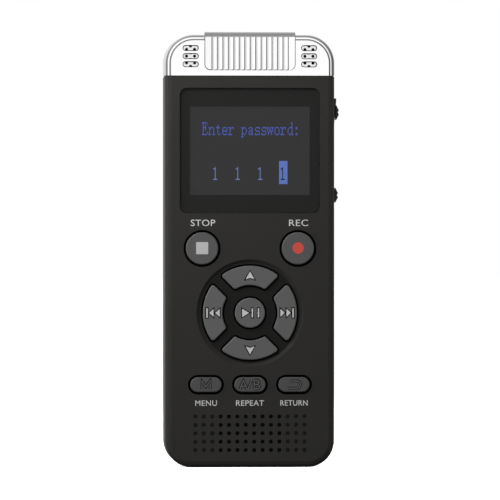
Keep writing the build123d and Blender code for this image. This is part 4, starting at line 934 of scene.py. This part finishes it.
def make_icons():
    # painted shade for the icons' floors, black and without gloss
    black = ink("icon_painted_shade", (0.002, 0.002, 0.002), 0.7, 0.0)
    pale = ink("icon_pale", (0.37, 0.37, 0.37), 0.45)
    grey = ink("icon_grey", (0.07, 0.07, 0.07), 0.45)
    pad = {
        "up": (arrow_outlines, 0),
        "previous": (skip_outlines, 90),
        "down": (arrow_outlines, 180),
        "next": (skip_outlines, -90),
    }
    for key, (outline, turn) in pad.items():
        x = -PAD_ICON_RADIUS * math.sin(math.radians(turn))
        z = PAD_Z + PAD_ICON_RADIUS * math.cos(math.radians(turn))
        make_icon(key, *rimmed(outline()), PAD_TOP_Y, x, z, turn, (black, pale))
    make_icon("play", *rimmed(play_outlines()), PAD_TOP_Y, 0, PAD_Z, 0, (black, pale))
    pills = {
        "menu": (menu_lines, -PILL_PITCH),
        "repeat": (repeat_lines, 0),
        "return": (return_lines, PILL_PITCH),
    }
    for key, (lines, x) in pills.items():
        outlines = [pen_line(line, ICON_STROKE) for line in lines()]
        fills = [pen_line(line, ICON_FILL_STROKE) for line in lines()]
        make_icon(key, outlines, fills, PILL_TOP_Y, x, PILL_Z, 0, (black, grey))


def make_marks():
    """The pale square on the stop key and the red dot on the record key."""
    square = rounded(STOP_MARK, STOP_MARK, STOP_MARK_CORNER, (-ROUND_KEY_X, MARK_Z))
    dot = circle(RECORD_MARK, (ROUND_KEY_X, MARK_Z))
    marks = {
        "stop": (square, ink("stop_grey", (0.3, 0.3, 0.3), 0.45)),
        "record": (dot, ink("record_red", (0.39, 0.043, 0.033), 0.42)),
    }
    front_y = ROUND_KEY_TOP_Y - PRINT_HEIGHT
    back_y = ROUND_KEY_TOP_Y + PRINT_DEPTH
    for key, (outline, material) in marks.items():
        mesh_data = to_mesh(f"{key}_mark", slab([outline], front_y, back_y))
        add_piece(f"{key}_mark", mesh_data, material, f"{key}_key")


# ---------------------------------------------------------------- studio
def studio_light(nodes, links):
    """The studio's brightness by direction, as a colour: by depth, then tilted along X and Z."""
    direction = nodes.new("ShaderNodeTexCoord")
    split = nodes.new("ShaderNodeSeparateXYZ")
    links.new(direction.outputs["Generated"], split.inputs["Vector"])
    depth = nodes.new("ShaderNodeMapRange")
    depth.inputs["From Min"].default_value = -1.0
    depth.inputs["From Max"].default_value = 1.0
    links.new(split.outputs["Y"], depth.inputs["Value"])
    ramp = nodes.new("ShaderNodeValToRGB")
    links.new(depth.outputs["Result"], ramp.inputs["Fac"])
    while len(ramp.color_ramp.elements) < len(STUDIO_LEVELS):
        ramp.color_ramp.elements.new(0.5)
    for element, (position, level) in zip(ramp.color_ramp.elements, STUDIO_LEVELS):
        element.position = position
        element.color = (level, level, level, 1)

    color = ramp.outputs["Color"]
    for axis, amount in STUDIO_TILTS.items():
        factor = nodes.new("ShaderNodeMath")
        factor.operation = "MULTIPLY_ADD"
        links.new(split.outputs[axis], factor.inputs[0])
        factor.inputs[1].default_value = amount
        factor.inputs[2].default_value = 1.0
        product = nodes.new("ShaderNodeVectorMath")
        product.operation = "SCALE"
        links.new(color, product.inputs["Vector"])
        links.new(factor.outputs["Value"], product.inputs["Scale"])
        color = product.outputs["Vector"]
    return color


def make_world():
    """White to the camera; to the object, a soft studio that is bright in front and above,
    darker at the sides, and a little brighter on the left."""
    world = bpy.data.worlds.new("studio")
    scene.world = world
    world.use_nodes = True
    nodes, links = world.node_tree.nodes, world.node_tree.links
    nodes.clear()
    studio = nodes.new("ShaderNodeBackground")
    links.new(studio_light(nodes, links), studio.inputs["Color"])
    white = nodes.new("ShaderNodeBackground")
    white.inputs["Color"].default_value = (1, 1, 1, 1)
    seen = nodes.new("ShaderNodeLightPath")
    mix = nodes.new("ShaderNodeMixShader")
    links.new(seen.outputs["Is Camera Ray"], mix.inputs["Fac"])
    links.new(studio.outputs["Background"], mix.inputs[1])
    links.new(white.outputs["Background"], mix.inputs[2])
    output = nodes.new("ShaderNodeOutputWorld")
    links.new(mix.outputs["Shader"], output.inputs["Surface"])


def aim(thing, place, target):
    """Put a camera or light at place, looking at target, both in millimetres."""
    thing.location = Vector(place) * MM
    gaze = Vector(target) - Vector(place)
    thing.rotation_euler = gaze.to_track_quat("-Z", "Y").to_euler()


def make_light(name, place, size, radiance):
    """A square soft box of that radiance, aimed at the object's middle. It isn't seen, nor
    mirrored in the plating, which reflects the plain studio instead."""
    light = bpy.data.lights.new(name, "AREA")
    light.size = size * MM
    light.energy = radiance * math.pi * (size * MM) ** 2
    lamp = bpy.data.objects.new(name, light)
    scene.collection.objects.link(lamp)
    aim(lamp, place, VIEW_CENTRE)
    lamp.visible_camera = False
    lamp.visible_glossy = False


def make_floor():
    """A plain pale floor that reads as white."""
    shape = bmesh.new()
    bmesh.ops.create_circle(shape, cap_ends=True, radius=FLOOR_RADIUS * MM, segments=96)
    floor = bpy.data.objects.new("floor", to_mesh("floor", shape))
    scene.collection.objects.link(floor)
    shader = Shader("floor_paper")
    tone = shader.blend(shader.noise(4.0), (0.88, 0.88, 0.88, 1), (0.9, 0.9, 0.9, 1))
    shader.link(tone, "Base Color")
    shader.set(Roughness=0.9, Specular_IOR_Level=0.1)
    shader.set(Emission_Color=(1, 1, 1, 1), Emission_Strength=0.65)
    floor.data.materials.append(shader.material)
    floor.visible_diffuse = False
    floor.visible_glossy = False


def make_camera():
    data = bpy.data.cameras.new("camera")
    data.sensor_width = SENSOR
    data.lens = SENSOR * VIEW_DISTANCE / VIEW_HEIGHT
    data.clip_start = 0.01
    data.clip_end = 50.0
    camera = bpy.data.objects.new("camera", data)
    scene.collection.objects.link(camera)
    turn, rise = math.radians(VIEW_AZIMUTH), math.radians(VIEW_ELEVATION)
    level = math.cos(rise)
    back = Vector((math.sin(turn) * level, -math.cos(turn) * level, math.sin(rise)))
    aim(camera, Vector(VIEW_CENTRE) + back * VIEW_DISTANCE, VIEW_CENTRE)
    scene.camera = camera


# ---------------------------------------------------------------- making
scene.view_settings.view_transform = "Standard"
make_camera()
make_world()
for light_name, light_values in LIGHTS.items():
    make_light(light_name, *light_values)
make_floor()
paint_cad_nodes(make_materials())
make_display()
white_ink = ink("label_ink", (0.4, 0.4, 0.4), 0.5)
for label_name in LABELS:
    make_label(label_name, white_ink)
make_icons()
make_marks()
